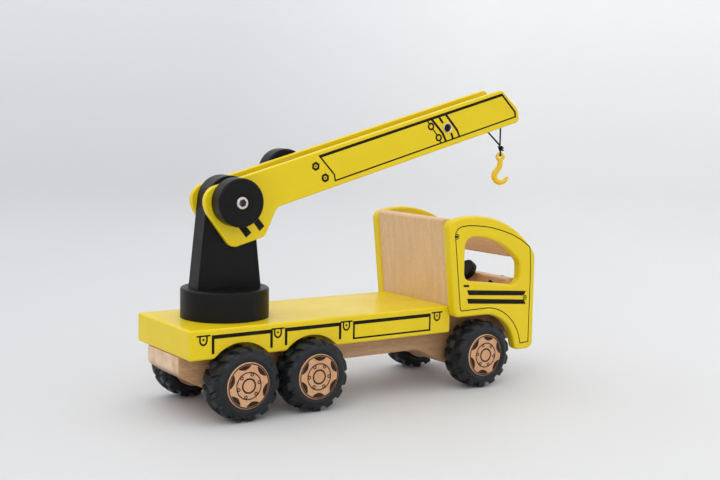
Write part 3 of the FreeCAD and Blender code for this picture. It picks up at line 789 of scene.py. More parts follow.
@dataclass(frozen=True)
class Paint(Finish):
    """Satin paint on wood: even colour, faint grain under it, and edges made slightly lighter as a painted highlight.
    """

    tone: Colour = colour(0.8, 0.6, 0.01)
    deep: Colour = colour(0.7, 0.5, 0.01)
    # Edge colour and its share: a painted highlight along rounded edges.
    edge: Colour = colour(0.9, 0.7, 0.05)
    sheen_share: float = 0.3
    grain: Grain = Grain.ALONG
    texture: float = 0.25

    def material(self) -> bpy.types.Material:
        """Build the paint.

        Returns:
            The material.
        """
        material, tree, shader, where = self.start()
        drawn = tree.add("Mapping", {"Vector": where, "Scale": self.grain.value}).outputs[0]
        grain = WoodGrain.place(tree, {"Vector": drawn})
        mottle = Mottle.place(tree, {"Vector": where, "Coarse": 35.0, "Fine": 1400.0})
        edges = EdgeSheen.place(tree, {"Vector": where, "Width": 0.0007})
        base = tree.blend(tree.maths("MULTIPLY", mottle["Tone"], 0.55), self.tone, self.deep)
        # Painted highlight: the lighter edge colour is mixed in along rounded edges.
        with_sheen = tree.blend(tree.maths("MULTIPLY", edges["Mask"], self.sheen_share), base, self.edge)
        tree.tree.links.new(with_sheen, shader.inputs["Base Color"])
        gloss = tree.spread(mottle["Tone"], 0.0, 1.0, self.roughness - 0.05, self.roughness + 0.06)
        tree.tree.links.new(gloss, shader.inputs["Roughness"])
        height = tree.maths("MULTIPLY_ADD", mottle["Grit"], 0.35, grain["Height"])
        self.bump(tree, shader, height, self.texture, 0.12 * MM)
        return material


@dataclass(frozen=True)
class BareWood(Finish):
    """Clear-lacquered pale hardwood with its grain in one direction, and a painted highlight along its edges."""

    light: Colour = colour(0.72, 0.46, 0.27)
    dark: Colour = colour(0.5, 0.28, 0.15)
    end: Colour = colour(0.84, 0.66, 0.48)
    pores: float = 0.7
    waver: float = 6 * MM
    grain: Grain = Grain.ALONG

    def material(self) -> bpy.types.Material:
        """Build the wood, with paler end grain on boards that run along the truck.

        Returns:
            The material.
        """
        material, tree, shader, where = self.start()
        bend = tree.add("TexNoise", {"Scale": 12.0, "Detail": 1.0, "Vector": where}).outputs["Color"]
        shifted = tree.add("VectorMath", {0: bend, 1: (self.waver,) * 3, 2: where}, operation="MULTIPLY_ADD")
        drawn = tree.add("Mapping", {"Vector": shifted.outputs[0], "Scale": self.grain.value}).outputs[0]
        grain = WoodGrain.place(tree, {"Vector": drawn, "Light": self.light, "Dark": self.dark,
                                       "Pores": self.pores})
        mottle = Mottle.place(tree, {"Vector": where, "Coarse": 22.0, "Fine": 900.0})
        edges = EdgeSheen.place(tree, {"Vector": where, "Width": 0.0008})
        tinted = tree.blend(tree.maths("MULTIPLY", mottle["Tone"], 0.25), grain["Color"], self.dark)
        if self.grain is Grain.ALONG:
            facing = tree.add("SeparateXYZ", {0: tree.add("TexCoord").outputs["Normal"]}).outputs["X"]
            ends = tree.spread(tree.maths("ABSOLUTE", facing), 0.75, 0.95, 0.0, 0.75)
            rings = tree.blend(tree.spread(tree.noise(where, 130.0, 3.0), 0.35, 0.7), self.end, self.light)
            tinted = tree.blend(ends, tinted, rings)
        # Painted highlight: the pale wood colour laid along rounded edges.
        lit = tree.blend(tree.maths("MULTIPLY", edges["Mask"], 0.3), tinted, self.light)
        tree.tree.links.new(lit, shader.inputs["Base Color"])
        self.bump(tree, shader, grain["Height"], 0.35, 0.12 * MM)
        return material


@dataclass(frozen=True)
class Rubber(Finish):
    """Matt black rubber, greyer in slow patches and greyer along its edges as a painted highlight; its roughness
    changes with the patches.
    """

    tone: Colour = colour(0.005, 0.0062, 0.008)
    grey_and_sheen: Colour = colour(0.035, 0.038, 0.043)

    def material(self) -> bpy.types.Material:
        """Build the rubber.

        Returns:
            The material.
        """
        material, tree, shader, where = self.start()
        mottle = Mottle.place(tree, {"Vector": where, "Coarse": 55.0, "Fine": 1500.0})
        edges = EdgeSheen.place(tree, {"Vector": where, "Width": 0.0009})
        # Grey share: slow patches of tone, plus a painted highlight along the edges.
        share = tree.maths("MULTIPLY_ADD", mottle["Tone"], 0.28, tree.maths("MULTIPLY", edges["Mask"], 0.4))
        tree.tree.links.new(tree.blend(share, self.tone, self.grey_and_sheen), shader.inputs["Base Color"])
        rough = tree.spread(mottle["Tone"], 0.0, 1.0, self.roughness - 0.07, self.roughness + 0.08)
        tree.tree.links.new(rough, shader.inputs["Roughness"])
        self.bump(tree, shader, mottle["Grit"], 0.3, 0.1 * MM)
        return material


@dataclass(frozen=True)
class Metal(Finish):
    """Nickel-plated steel with a slow change of tone and a fine grit in its roughness."""

    tone: Colour = colour(0.72, 0.7, 0.68)

    def material(self) -> bpy.types.Material:
        """Build the metal.

        Returns:
            The material.
        """
        material, tree, shader, where = self.start()
        shader.inputs["Metallic"].default_value = 1.0
        mottle = Mottle.place(tree, {"Vector": where, "Coarse": 300.0, "Fine": 2500.0})
        dull = tree.blend(tree.maths("MULTIPLY", mottle["Tone"], 0.5), self.tone, colour(0.5, 0.48, 0.46))
        tree.tree.links.new(dull, shader.inputs["Base Color"])
        rough = tree.spread(mottle["Grit"], 0.3, 0.7, self.roughness - 0.06, self.roughness + 0.1)
        tree.tree.links.new(rough, shader.inputs["Roughness"])
        return material


@dataclass(frozen=True)
class Plain(Finish):
    """Ink, cord or moulded plastic: one colour with a slow change of tone and a fine grit."""

    tone: Colour = colour(0.02, 0.02, 0.02)
    other: Colour = colour(0.04, 0.04, 0.04)
    coarse: float = 120.0
    fine: float = 1600.0
    depth: float = 0.05 * MM
    subsurface: float = 0.0

    def material(self) -> bpy.types.Material:
        """Build the finish.

        Returns:
            The material.
        """
        material, tree, shader, where = self.start()
        shader.inputs["Subsurface Weight"].default_value = self.subsurface
        shader.inputs["Subsurface Scale"].default_value = 1.5 * MM
        mottle = Mottle.place(tree, {"Vector": where, "Coarse": self.coarse, "Fine": self.fine})
        tree.tree.links.new(tree.blend(mottle["Tone"], self.tone, self.other), shader.inputs["Base Color"])
        rough = tree.spread(mottle["Grit"], 0.3, 0.7, self.roughness - 0.05, self.roughness + 0.07)
        tree.tree.links.new(rough, shader.inputs["Roughness"])
        self.bump(tree, shader, mottle["Grit"], 0.25, self.depth)
        return material


class Palette:
    """All finishes of the truck, each made once."""

    def __init__(self) -> None:
        """Make the materials."""
        # Each paint's edge colour is a painted highlight laid along its rounded edges, strongest on the black.
        yellow = {"roughness": 0.36, "specular": 0.26, "coat": 0.12, "coat_roughness": 0.22,
                  "tone": colour(0.80, 0.60, 0.006), "deep": colour(0.75, 0.54, 0.004),
                  "edge": colour(0.88, 0.72, 0.05)}
        black = {"roughness": 0.38, "specular": 0.16,
                 "tone": colour(0.004, 0.004, 0.004), "deep": colour(0.007, 0.007, 0.007),
                 "edge": colour(0.04, 0.04, 0.04), "sheen_share": 0.6, "texture": 0.35}
        self.yellow_long = Paint("yellow_paint_long", grain=Grain.ALONG, **yellow).material()
        self.yellow_tall = Paint("yellow_paint_tall", grain=Grain.UPRIGHT, **yellow).material()
        self.black_turned = Paint("black_paint_turned", grain=Grain.ACROSS, **black).material()
        self.black_tall = Paint("black_paint_tall", grain=Grain.UPRIGHT, **black).material()
        wood = {"roughness": 0.46, "coat": 0.12, "coat_roughness": 0.35}
        self.wood_tall = BareWood("bare_wood_tall", grain=Grain.UPRIGHT, light=colour(0.84, 0.58, 0.33),
                                  dark=colour(0.62, 0.39, 0.20), **wood).material()
        self.wood_long = BareWood("bare_wood_long", grain=Grain.ALONG, light=colour(0.66, 0.41, 0.22),
                                  dark=colour(0.40, 0.21, 0.10), **wood).material()
        self.wood_cross = BareWood("bare_wood_cross", grain=Grain.ACROSS, light=colour(0.78, 0.50, 0.28),
                                   dark=colour(0.56, 0.33, 0.16), **wood).material()
        self.wood_hub = BareWood("hub_wood", grain=Grain.UPRIGHT, light=colour(0.76, 0.44, 0.24),
                                 dark=colour(0.52, 0.25, 0.11), pores=0.8, **wood).material()
        self.rubber = Rubber("tyre_rubber", roughness=0.4, specular=0.32).material()
        self.steel = Metal("nickel_steel", roughness=0.26).material()
        # Painted shade: the dark brown that fills the bolt's socket.
        self.socket_shade = Plain("socket_painted_shade", roughness=0.5, tone=colour(0.06, 0.038, 0.03),
                           other=colour(0.1, 0.065, 0.05)).material()
        self.ink = Plain("black_ink", roughness=0.5, specular=0.15, tone=colour(0.005, 0.0035, 0.002),
                         other=colour(0.010, 0.007, 0.004)).material()
        self.burnt = Plain("burnt_line", roughness=0.65, specular=0.2, tone=colour(0.018, 0.008, 0.004),
                           other=colour(0.045, 0.018, 0.008), coarse=500.0).material()
        self.cord = Plain("black_cord", roughness=0.8, specular=0.15, tone=colour(0.006, 0.006, 0.006),
                          other=colour(0.018, 0.018, 0.019), coarse=1200.0, depth=0.15 * MM).material()
        self.plastic = Plain("hook_plastic", roughness=0.3, tone=colour(0.87, 0.595, 0.003),
                             other=colour(0.84, 0.53, 0.002), coarse=90.0, subsurface=0.05).material()

    def dress(self, nodes: dict[str, bpy.types.Object]) -> None:
        """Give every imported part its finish.

        Args:
            nodes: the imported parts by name.
        """
        by_name = {
            "bed": self.yellow_long, "chassis": self.wood_long, "cab_block": self.wood_long,
            "cab_floor": self.wood_long, "cab_back_panel": self.wood_tall, "front_panel": self.wood_cross,
            "windscreen_header": self.wood_cross, "boom_spacer": self.wood_cross,
            "steering_column": self.wood_long, "nose_roller": self.wood_cross, "hook": self.plastic,
            "tower": self.black_tall,
        }
        by_start = {
            "cab_side": self.yellow_tall, "boom_plate": self.yellow_long, "turntable": self.black_turned,
            "pivot_knob": self.black_turned, "winch_knob": self.black_turned, "winch_bush": self.black_turned,
            "winch_axle": self.wood_cross, "winch_spool": self.wood_cross,
            "steering_wheel": self.black_turned, "headlight": self.black_turned,
            "axle_": self.wood_cross, "hub_": self.wood_hub,
            "tyre_": self.rubber, "cord_": self.cord, "king_pin": self.wood_tall, "king_": self.steel,
            "pivot_": self.steel, "boom_screws": self.steel, "nose_pin": self.steel, "guide_pin": self.steel,
            "bed_screws": self.steel, "cab_dowels": self.wood_cross, "tower_dowels": self.wood_tall,
        }
        for name, node in nodes.items():
            finish = by_name.get(name) or next(m for start, m in by_start.items() if name.startswith(start))
            node.data.materials.clear()
            node.data.materials.append(finish)


@dataclass
class Wheels:
    """Lugged tyres and the burnt-in pattern on the hubs."""

    phase: dict[str, float] = field(default_factory=lambda: {"rear": 43.0, "middle": 28.0, "front": 20.0})
    phase_per_lug: float = 9.0
    tyre_radius: float = 30.0
    bore_radius: float = 18.85
    half_width: float = 13.0
    carcass_squareness: float = 3.4
    lug_squareness: float = 4.4
    bead_tuck: float = 1.1
    bead_height: float = 3.2
    bore_points: int = 6
    lugs: int = 14
    lug_depth: float = 2.4
    lug_share: float = 0.58
    lug_lean: float = 0.04
    lug_flank: float = 0.06
    lug_foot: tuple[float, float] = (24.6, 26.3)
    lug_inner_end: tuple[float, float] = (0.5, 1.4)
    samples_per_lug: int = 26
    section_points: int = 34
    hub_rings: tuple[tuple[float, float], ...] = ((17.55, 0.95), (10.8, 0.95), (5.6, 1.4))
    vents: int = 6
    vent_half_angle: float = 20.0
    vent_outer: float = 16.85
    vent_inner: float = 16.5
    vent_depth: float = 3.3
    vent_roundness: float = 0.7
    nut_circle: float = 9.3
    nut_radius: float = 1.15
    nut_line: float = 0.85

    def section(self, crown: float, power: float, width: float) -> Array:
        """Half a cross-section, from the bead over the wall to the middle of the tread.

        It is a quarter superellipse: width times cos^(2/power) across and the rise over the bead
        times sin^(2/power) outward, drawn in a little at the bead.

        Args:
            crown: radius in the middle of the tread.
            power: how square the shoulder is.
            width: half width of the wall.

        Returns:
            (across, radius) points, shape (n, 2), in millimetres.
        """
        quarter = np.linspace(0.0, 0.5 * math.pi, self.section_points)
        across = width * np.cos(quarter) ** (2 / power)
        radius = self.bore_radius + (crown - self.bore_radius) * np.sin(quarter) ** (2 / power)
        tuck = self.bead_tuck * (1 - ease(radius, self.bore_radius, self.bore_radius + self.bead_height))
        return np.column_stack([np.minimum(across, width - tuck), radius])

    def tyre(self, name: str, side: str, finish: bpy.types.Material) -> bpy.types.Object:
        """Make one tyre: a ring whose section changes between the carcass and the lugs.

        At each angle the section is the carcass plus a pulse times the gap to the lug section. The
        pulse of the left half is half a lug ahead of the right half's, its flanks are steep, and
        it leans with the distance from the middle, where the lugs end.

        Args:
            name: which axle.
            side: which side of it.
            finish: the rubber.

        Returns:
            The tyre's object.
        """
        low, high = corners(f"tyre_{name}_{side}")
        centre = (low + high) / 2
        carcass = self.section(self.tyre_radius - self.lug_depth, self.carcass_squareness, self.half_width)
        lug = self.section(self.tyre_radius, self.lug_squareness, self.half_width)
        both = [np.concatenate([half, half[-2::-1] * (-1, 1)]) for half in (carcass, lug)]
        inside = np.linspace(-carcass[0, 0], carcass[0, 0], self.bore_points + 2)[1:-1]
        bore = np.column_stack([inside, np.full(self.bore_points, self.bore_radius)])
        carcass, lug = (np.concatenate([loop, bore]) for loop in both)
        across = (carcass[:, 0] + lug[:, 0]) / 2
        angle = circle(self.lugs * self.samples_per_lug)[:, None]
        lean = 0.5 * (across > 0) + self.lug_lean * np.abs(across) + self.phase[name] / self.phase_per_lug
        saw = np.abs((angle * self.lugs / (2 * math.pi) + lean) % 1.0 - 0.5) * 2
        edge = 1.0 - self.lug_share
        share = ease(carcass[:, 1], *self.lug_foot) * ease(np.abs(across), *self.lug_inner_end)
        pulse = (ease(saw, edge - self.lug_flank, edge + self.lug_flank) * share)[..., None]
        section = carcass + pulse * (lug - carcass)
        points = np.stack([centre[0] + section[..., 1] * np.cos(angle) * MM, centre[1] + section[..., 0] * MM,
                           centre[2] + section[..., 1] * np.sin(angle) * MM], axis=-1)
        shell = Shell(f"lugged_tyre_{name}_{side}")
        shell.grid(points, round_u=True)
        return fit(shell.make(finish, TYRE_SHARP), f"wheels_{name}", "tyre_rubber", f"tyre_{name}_{side}")

    def vent(self, at: float) -> Array:
        """Outline of one vent: an arc near the rim and a flatter one below, in pointed ends.

        The inner arc dips by the depth times a power of the cosine, which is one in the middle of
        the vent and zero at its ends.

        Args:
            at: angle of its middle, in degrees.

        Returns:
            Places on the hub, shape (n, 2), in millimetres.
        """
        reach = self.vent_half_angle
        outer = np.linspace(-reach, reach, 15)
        inner = np.linspace(reach, -reach, 15)[1:-1]
        dip = self.vent_depth * np.cos(np.radians(inner / reach * 90.0)) ** self.vent_roundness
        return np.concatenate([self.vent_outer * turn(at + outer),
                               (self.vent_inner - dip)[:, None] * turn(at + inner)])

    def hub_print(self, name: str, side: str, finish: bpy.types.Material) -> bpy.types.Object:
        """Burnt pattern on one hub: a rim line, six vents, six nuts on a ring, and a centre ring.

        Args:
            name: which axle.
            side: which side of it.
            finish: the burnt colour.

        Returns:
            The print.
        """
        low, high = corners(f"hub_{name}_{side}")
        ink = Print(f"hub_print_{name}_{side}", face_plane(f"hub_{name}_{side}", side, (low + high) / 2))
        for radius, width in self.hub_rings:
            ink.ring((0, 0), radius, width)
        for index in range(self.vents):
            at = self.phase[name] + index * 360 / self.vents
            ink.fill(self.vent(at))
            nut = (self.nut_circle * turn(at + 180.0 / self.vents))[0]
            ink.ring(tuple(nut), self.nut_radius, self.nut_line, 20)
        return ink.make(f"wheels_{name}", "hub_wood", finish)

    def build(self, palette: Palette) -> None:
        """Make every tyre and hub print.

        Args:
            palette: the finishes.
        """
        for name in self.phase:
            for side in SIDES:
                self.tyre(name, side, palette.rubber)
                self.hub_print(name, side, palette.burnt)


@dataclass
class TruckPrint:
    """Printed lines on both sides of the bed and the cab, in millimetres along X and Z."""

    line: float = 0.85
    brackets: tuple[float, ...] = (-161.5, -95.1, -29.3, 65.7)
    bracket_z: float = 67.3
    roof_points: tuple[tuple[float, float], ...] = (
        (78.6, 144.3), (82.5, 146.3), (91.0, 147.1), (100.5, 146.5), (114.9, 144.7), (128.4, 141.3),
        (141.2, 137.0), (152.0, 131.8), (162.0, 125.1))
    hinge: tuple[float, float] = (78.0, 137.9)
    cap: tuple[float, float] = (158.4, 78.4)
    arch_centre: tuple[float, float] = (112.3, 30.0)
    arch_line_radius: float = 42.4

    def bed(self, side: str, finish: bpy.types.Material) -> None:
        """Print on one side of the bed: four clasps, two frames over the wheels and a long panel.

        Args:
            side: which side.
            finish: the ink.
        """
        ink = Print(f"bed_print_{side}", face_plane("bed", side, np.zeros(3)))
        z = self.bracket_z
        for x in self.brackets:
            ink.band([(x - 6.0, z + 3.5), (x + 6.0, z + 3.5)], 1.3)
            cup = np.array([x, z + 0.2]) + np.array([3.0, 3.8]) * turn(np.linspace(180, 360, 19))
            legs = np.concatenate([[(x - 3.0, z + 3.5)], cup, [(x + 3.0, z + 3.5)]])
            ink.band(legs, 1.5)
            ink.dot((x, z + 0.5), 0.95)
        for start, end, low in ((-153.2, -101.0, 55.8), (-87.5, -35.5, 56.5)):
            ink.band([(start, low), (start, 69.2), (end, 69.2), (end, low)], [2.4, 3.1, 2.4])
        panel = [(-21.8, 55.9), (-21.8, 69.0), (57.9, 69.0), (57.9, 55.9)]
        ink.band(panel, [1.9, 3.0, 1.7, 1.5], closed=True)
        ink.make("truck", "yellow_paint", finish)

    def cab(self, side: str, finish: bpy.types.Material) -> None:
        """Print on one cab side: door line, hinge, handle and two stripes with a cap.

        Args:
            side: which side.
            finish: the ink.
        """
        ink = Print(f"cab_print_{side}", face_plane(f"cab_side_{side}", side, np.zeros(3)))
        arch = np.array(self.arch_centre) + self.arch_line_radius * turn(np.linspace(10.0, 83.0, 24))
        door = np.concatenate([
            [(76.6, 135.0), (76.4, 141.0)], self.roof_points,
            [(163.2, 122.6), (164.4, 107.0), (163.9, 37.2), (154.2, 36.6)],
            arch, [(115.0, 72.3), (98.0, 72.0), (84.6, 71.9), (83.4, 74.5)]])
        ink.band(door, self.line, closed=True)
        ink.ring(self.hinge, 2.1, 0.75, 28)
        ink.dot(self.hinge, 1.2)
        ink.fill([(86.6, 94.9), (92.9, 94.5), (93.0, 92.6), (86.7, 93.0)])
        ink.fill([(90.6, 90.0), (159.6, 84.4), (157.0, 80.4), (92.6, 85.4)])
        ink.fill([(90.9, 82.4), (157.4, 76.6), (159.8, 72.3), (92.3, 77.8)])
        ink.ring(self.cap, 1.9, 0.8, 24)
        ink.dot(self.cap, 0.9)
        ink.make("truck", "yellow_paint", finish)

    def build(self, palette: Palette) -> None:
        """Print on both sides of the truck.

        Args:
            palette: the finishes.
        """
        for side in SIDES:
            self.bed(side, palette.ink)
            self.cab(side, palette.ink)


@dataclass
class Crane:
    """Boom frame, boom print, bolt and screw heads. Boom places are (s, t): along it and over it."""

    luff: float = 16.0
    plate_outer: float = 15.6
    spacer_s: float = 217.9
    knob_thickness: float = 16.7
    eyelets: tuple[tuple[float, float], ...] = ((201.3, 6.0), (206.8, -5.8))
    links: tuple[tuple[tuple[tuple[float, float], ...], object], ...] = (
        (((199.0, 11.6), (200.3, 8.6)), 1.3), (((202.7, 3.2), (205.4, -2.9)), 1.2),
        (((207.5, -8.7), (208.0, -11.2)), 1.3), (((203.6, 11.7), (211.9, -3.2), (213.6, -11.2)), (2.2, 2.2)),
        (((211.6, 11.7), (214.4, 5.4)), 2.2), (((220.9, -5.4), (221.4, -11.2)), 2.2),
        (((219.4, 11.7), (227.8, -5.0), (228.9, -11.2)), (2.2, 2.0)))
    short_bars: tuple[tuple[tuple[float, float], ...], ...] = (
        ((-1.6, -20.8), (3.6, -18.6), (8.6, -29.4), (3.0, -32.0)),
        ((11.2, -18.2), (16.2, -15.8), (21.4, -28.0), (16.0, -30.6)))
    pivot: Array = field(init=False)
    left: Array = field(init=False)
    ahead: Array = field(init=False)
    along: Array = field(init=False)
    over: Array = field(init=False)

    def __post_init__(self) -> None:
        """Read the pivot and the slewed directions from the boom's joint."""
        joint = next(j for j in frame["joints"] if j["name"] == "boom_luff")
        self.pivot = np.array(joint["pos_m"], float)
        self.left = -unit(np.array(joint["axis"], float))
        self.ahead = np.cross(self.left, UP)
        angle = math.radians(self.luff)
        self.along = math.cos(angle) * self.ahead + math.sin(angle) * UP
        self.over = math.cos(angle) * UP - math.sin(angle) * self.ahead

    def spot(self, s: float, t: float, y: float = 0.0) -> Array:
        """Place of a boom point.

        Args:
            s: millimetres along the boom from its pivot.
            t: millimetres over it.
            y: millimetres to its left.

        Returns:
            The place, in metres.
        """
        return self.pivot + (s * self.along + t * self.over + y * self.left) * MM

    def face(self, side: str) -> Plane:
        """Outer face of one boom plate.

        Args:
            side: which plate.

        Returns:
            The plane, with its origin beside the pivot.
        """
        sign = SIDES[side]
        return Plane(self.spot(0, 0, sign * self.plate_outer), self.along, self.over, sign * self.left)

    def boom_print(self, side: str, finish: bpy.types.Material) -> None:
        """Print on one boom plate: long panel, divider of bars, printed nuts and two short bars.

        Args:
            side: which plate.
            finish: the ink.
        """
        ink = Print(f"boom_print_{side}", self.face(side))
        panel = [(86.4, 12.3), (284.4, 12.6), (294.9, -6.4), (294.3, -10.9), (95.4, -11.6), (95.9, -6.4)]
        ink.band(panel, [2.5, 1.9, 1.9, 1.3, 1.4, 1.4], closed=True)
        for spot in ((80.5, 5.5), (86.7, -6.5)):
            ink.band(np.array(spot) + 2.9 * turn(np.arange(0, 360, 60) + 12.0), 1.9, closed=True)
            ink.dot(spot, 0.8)
        for ends, width in self.links:
            ink.band(ends, width)
        for centre in self.eyelets:
            ink.ring(centre, 2.6, 1.7, 32)
        for outline in self.short_bars:
            ink.fill(outline)
        ink.make("boom", "yellow_paint", finish)

    def turned(self, name: str, s: float, t: float, profile: Array,
               finish: bpy.types.Material) -> bpy.types.Object:
        """Surface of revolution about a line across the boom.

        Args:
            name: name of the piece.
            s: place along the boom of its axis.
            t: place over the boom of its axis.
            profile: (radius, place across the truck) corners in millimetres.
            finish: its material.

        Returns:
            The piece.
        """
        profile = np.asarray(profile, float)
        around = turn(np.linspace(0, 360, 64, endpoint=False))
        spokes = around[:, :1] * self.along + around[:, 1:] * self.over
        points = (self.spot(s, t) + profile[:, None, :1] * spokes * MM
                  + profile[:, None, 1:] * self.left * MM)
        shell = Shell(name)
        shell.grid(points)
        return shell.make(finish)

    def fasteners(self, palette: Palette) -> None:
        """Dished rings and dark domes of the spacer screws, and a dark cup of painted shade in the bolt's socket.

        Each is a profile of (radius, place across the truck) corners turned about its own axis, and
        a dome's profile is a quarter ellipse.

        Args:
            palette: the finishes.
        """
        out = self.plate_outer
        ring = [(3.2, out - 0.4), (3.2, out + 0.35), (3.5, out + 0.9), (4.0, out + 1.2),
                (4.35, out + 0.9), (4.4, out + 0.4), (4.4, out - 0.4)]
        quarter = np.radians(np.linspace(90, 4, 12))
        dome = np.column_stack([3.18 * np.cos(quarter) + 0.02, out + 0.2 + 1.3 * np.sin(quarter)])
        dome = np.concatenate([dome, [(3.2, out - 0.4)]])
        heads = (("ring", ring, palette.steel, "steel"), ("dome", dome, palette.black_turned, "black_paint"))
        for side, sign in SIDES.items():
            for label, profile, finish, slot in heads:
                stands_for = "boom_screws" if (side, label) == ("right", "ring") else None
                fit(self.turned(f"spacer_screw_{label}_{side}", self.spacer_s, 0.0,
                                [(r, sign * y) for r, y in profile], finish), "boom", slot, stands_for)
        face = -(self.plate_outer + self.knob_thickness)
        # Painted shade: the socket is lined with a dark brown cup.
        socket = [(0.02, face + 1.85), (2.7, face + 1.7), (2.8, face - 0.75), (3.15, face - 0.8),
                  (3.2, face + 1.95), (0.02, face + 1.95)]
        fit(self.turned("bolt_socket_shade", 0.0, 0.0, socket, palette.socket_shade), "boom", "steel")

    def build(self, palette: Palette) -> None:
        """Dress the boom.

        Args:
            palette: the finishes.
        """
        for side in SIDES:
            self.boom_print(side, palette.ink)
        self.fasteners(palette)


@dataclass
class Rigging:
    """Cord, knot, loop, winding and hook under the boom's nose."""

    crane: Crane
    diameter: float = 1.6
    half_spread: float = 0.8
    curve_steps: int = 22
    step: float = 0.28
    plaits: int = 8
    braid_depth: float = 0.06
    braid_pitch: float = 1.5
    hang: float = 3.9
    knot_size: tuple[float, float, float] = (0.58, 0.72, 1.3)
    knot_turn: float = 0.6
    knot_strand: float = 0.82
    tail_strand: float = 0.8
    tails: tuple[tuple[float, float], ...] = ((0.5, -0.5), (-1.0, -1.5))
    loop_strand: float = 0.72
    loop_narrowness: float = 0.72
    loop_inset: float = 0.7
    twist_depth: float = 0.05
    hook_twist: float = -34.0
    eye_ring: float = 2.9
    eye_wire: float = 1.5
    bowl_ring: float = 6.05
    hook_wire: float = 2.45
    hook_sweep: tuple[float, float] = (150.0, 336.0)
    hook_shares: tuple[float, ...] = (0, 0.12, 0.3, 0.5, 0.7, 0.88, 1.0)
    hook_radii: tuple[float, ...] = (2.3, 2.65, 2.7, 2.8, 2.6, 1.9, 1.25)
    hook_flatness: float = 0.95
    tip_share: float = 0.03
    mean_width: int = 19
    voxel: float = 0.24
    soften: int = 3
    winding_half: float = 3.4
    winding_core: float = 5.62
    winding_radius: float = 7.75
    winding_ridge: float = 0.62
    winding_place: tuple[float, float] = (69.5, 2.0)
    nose: Array = field(init=False)
    guide: Array = field(init=False)
    knot: Array = field(init=False)

    def __post_init__(self) -> None:
        """Find the nose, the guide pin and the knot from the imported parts."""
        self.nose, self.guide, self.knot = (self.middle(n) for n in ("nose_pin", "guide_pin", "cord_knot"))

    def middle(self, node: str) -> Array:
        """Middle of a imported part's box."""
        low, high = corners(node)
        return (low + high) / 2

    def off(self, base: Array, ahead: float, up: float, left: float = 0.0) -> Array:
        """Point beside a base point.

        Args:
            base: the base point, in metres.
            ahead: millimetres ahead of it, as the crane points.
            up: millimetres above it.
            left: millimetres to its left.

        Returns:
            The point, in metres.
        """
        return base + (ahead * self.crane.ahead + left * self.crane.left) * MM + np.array([0, 0, up * MM])

    def line_of(self, route: Array) -> Array:
        """Points along the smooth cord of a route.

        The route's points are the control points of a NURBS spline of order 3 that reaches its
        ends, and the line is read back from the curve.

        Args:
            route: control points, shape (n, 3).

        Returns:
            Points along the spline, shape (m, 3).
        """
        curve = bpy.data.curves.new("route", "CURVE")
        curve.dimensions = "3D"
        spline = curve.splines.new("NURBS")
        spline.points.add(len(route) - 1)
        spline.points.foreach_set("co", np.column_stack([route, np.ones(len(route))]).ravel())
        spline.order_u = 3
        spline.use_endpoint_u = True
        spline.resolution_u = self.curve_steps
        holder = bpy.data.objects.new("route", curve)
        bpy.context.scene.collection.objects.link(holder)
        bpy.context.view_layer.update()
        mesh = bpy.data.meshes.new_from_object(holder.evaluated_get(bpy.context.evaluated_depsgraph_get()))
        line = np.array([v.co for v in mesh.vertices])
        bpy.data.objects.remove(holder)
        return line

    def tube(self, shell: Shell, line: Array, radius: float, across: Array, sides: int = 20) -> None:
        """Add a braided tube along a line.

        Around each point the tube is a circle in the plane of the across direction and its cross
        product with the line's direction. The radius swells by the product of two sine waves that
        wind opposite ways, which is the braid.

        Args:
            shell: shell to add to.
            line: points along the middle, shape (n, 3).
            radius: its radius, in metres.
            across: a direction that the line never runs along.
            sides: points around.
        """
        ahead = unit(np.gradient(line, axis=0))
        first = np.broadcast_to(across, line.shape)
        first = unit(first - (first * ahead).sum(1, keepdims=True) * ahead)
        second = np.cross(ahead, first)
        around = circle(sides)
        lay = 2 * math.pi * travelled(line)[:, None] / (self.diameter * MM * self.braid_pitch)
        half = self.plaits / 2 * around
        braid = 1 + self.braid_depth * np.sin(half + lay) * np.sin(half - lay)
        reach = radius * np.ones((len(line), 1)) * braid / (1 + self.braid_depth)
        spokes = around[None, :, None]
        ring = np.cos(spokes) * first[:, None] + np.sin(spokes) * second[:, None]
        shell.grid(line[:, None] + reach[..., None] * ring)

    def twisted_ring(self, shell: Shell, line: Array, radius: float, frame_of: tuple[Array, Array],
                     twists: int) -> None:
        """Add a closed ring of twisted cord along a closed line.

        Around each point it is a circle whose radius swells by a sine of four times its own angle
        plus a number of twists times the angle along the ring.

        Args:
            shell: shell to add to.
            line: points along the middle, shape (n, 3).
            radius: its radius, in millimetres.
            frame_of: two directions across the line, each one or per point.
            twists: how often the sine winds round on the way.
        """
        first, second = (np.broadcast_to(d, line.shape)[:, None] for d in frame_of)
        around = circle(18)[None, :, None]
        angle = circle(len(line))[:, None, None]
        reach = radius * MM * (1 + self.twist_depth * np.sin(4 * around + twists * angle))
        shell.grid(line[:, None] + reach * (np.cos(around) * first + np.sin(around) * second), round_u=True)

    def evened(self, line: Array, count: int) -> Array:
        """The same line with its points at even steps.

        Args:
            line: points along it.
            count: how many points it gets.

        Returns:
            The new points.
        """
        length = travelled(line)
        even = np.linspace(0, length[-1], count)
        return np.column_stack([np.interp(even, length, column) for column in line.T])

    def strand(self, name: str, node: str, route: Array,
               finish: bpy.types.Material) -> tuple[bpy.types.Object, Array, float]:
        """Make one stretch of cord along a route.

        Args:
            name: name of the piece.
            node: packed cord that it replaces.
            route: its control points, in metres.
            finish: the cord's material.

        Returns:
            The piece, its line and its length in metres.
        """
        line = self.line_of(np.asarray(route))
        length = float(travelled(line)[-1])
        shell = Shell(name)
        fine = self.evened(line, int(length / (self.step * MM)) + 2)
        self.tube(shell, fine, self.diameter / 2 * MM, self.crane.left)
        piece = shell.make(finish, CORD_SHARP)
        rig.slot(piece, "cord")
        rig.replaces(piece, node)
        LOG.info("%s is %.1f mm long", name, length / MM)
        return piece, line, length

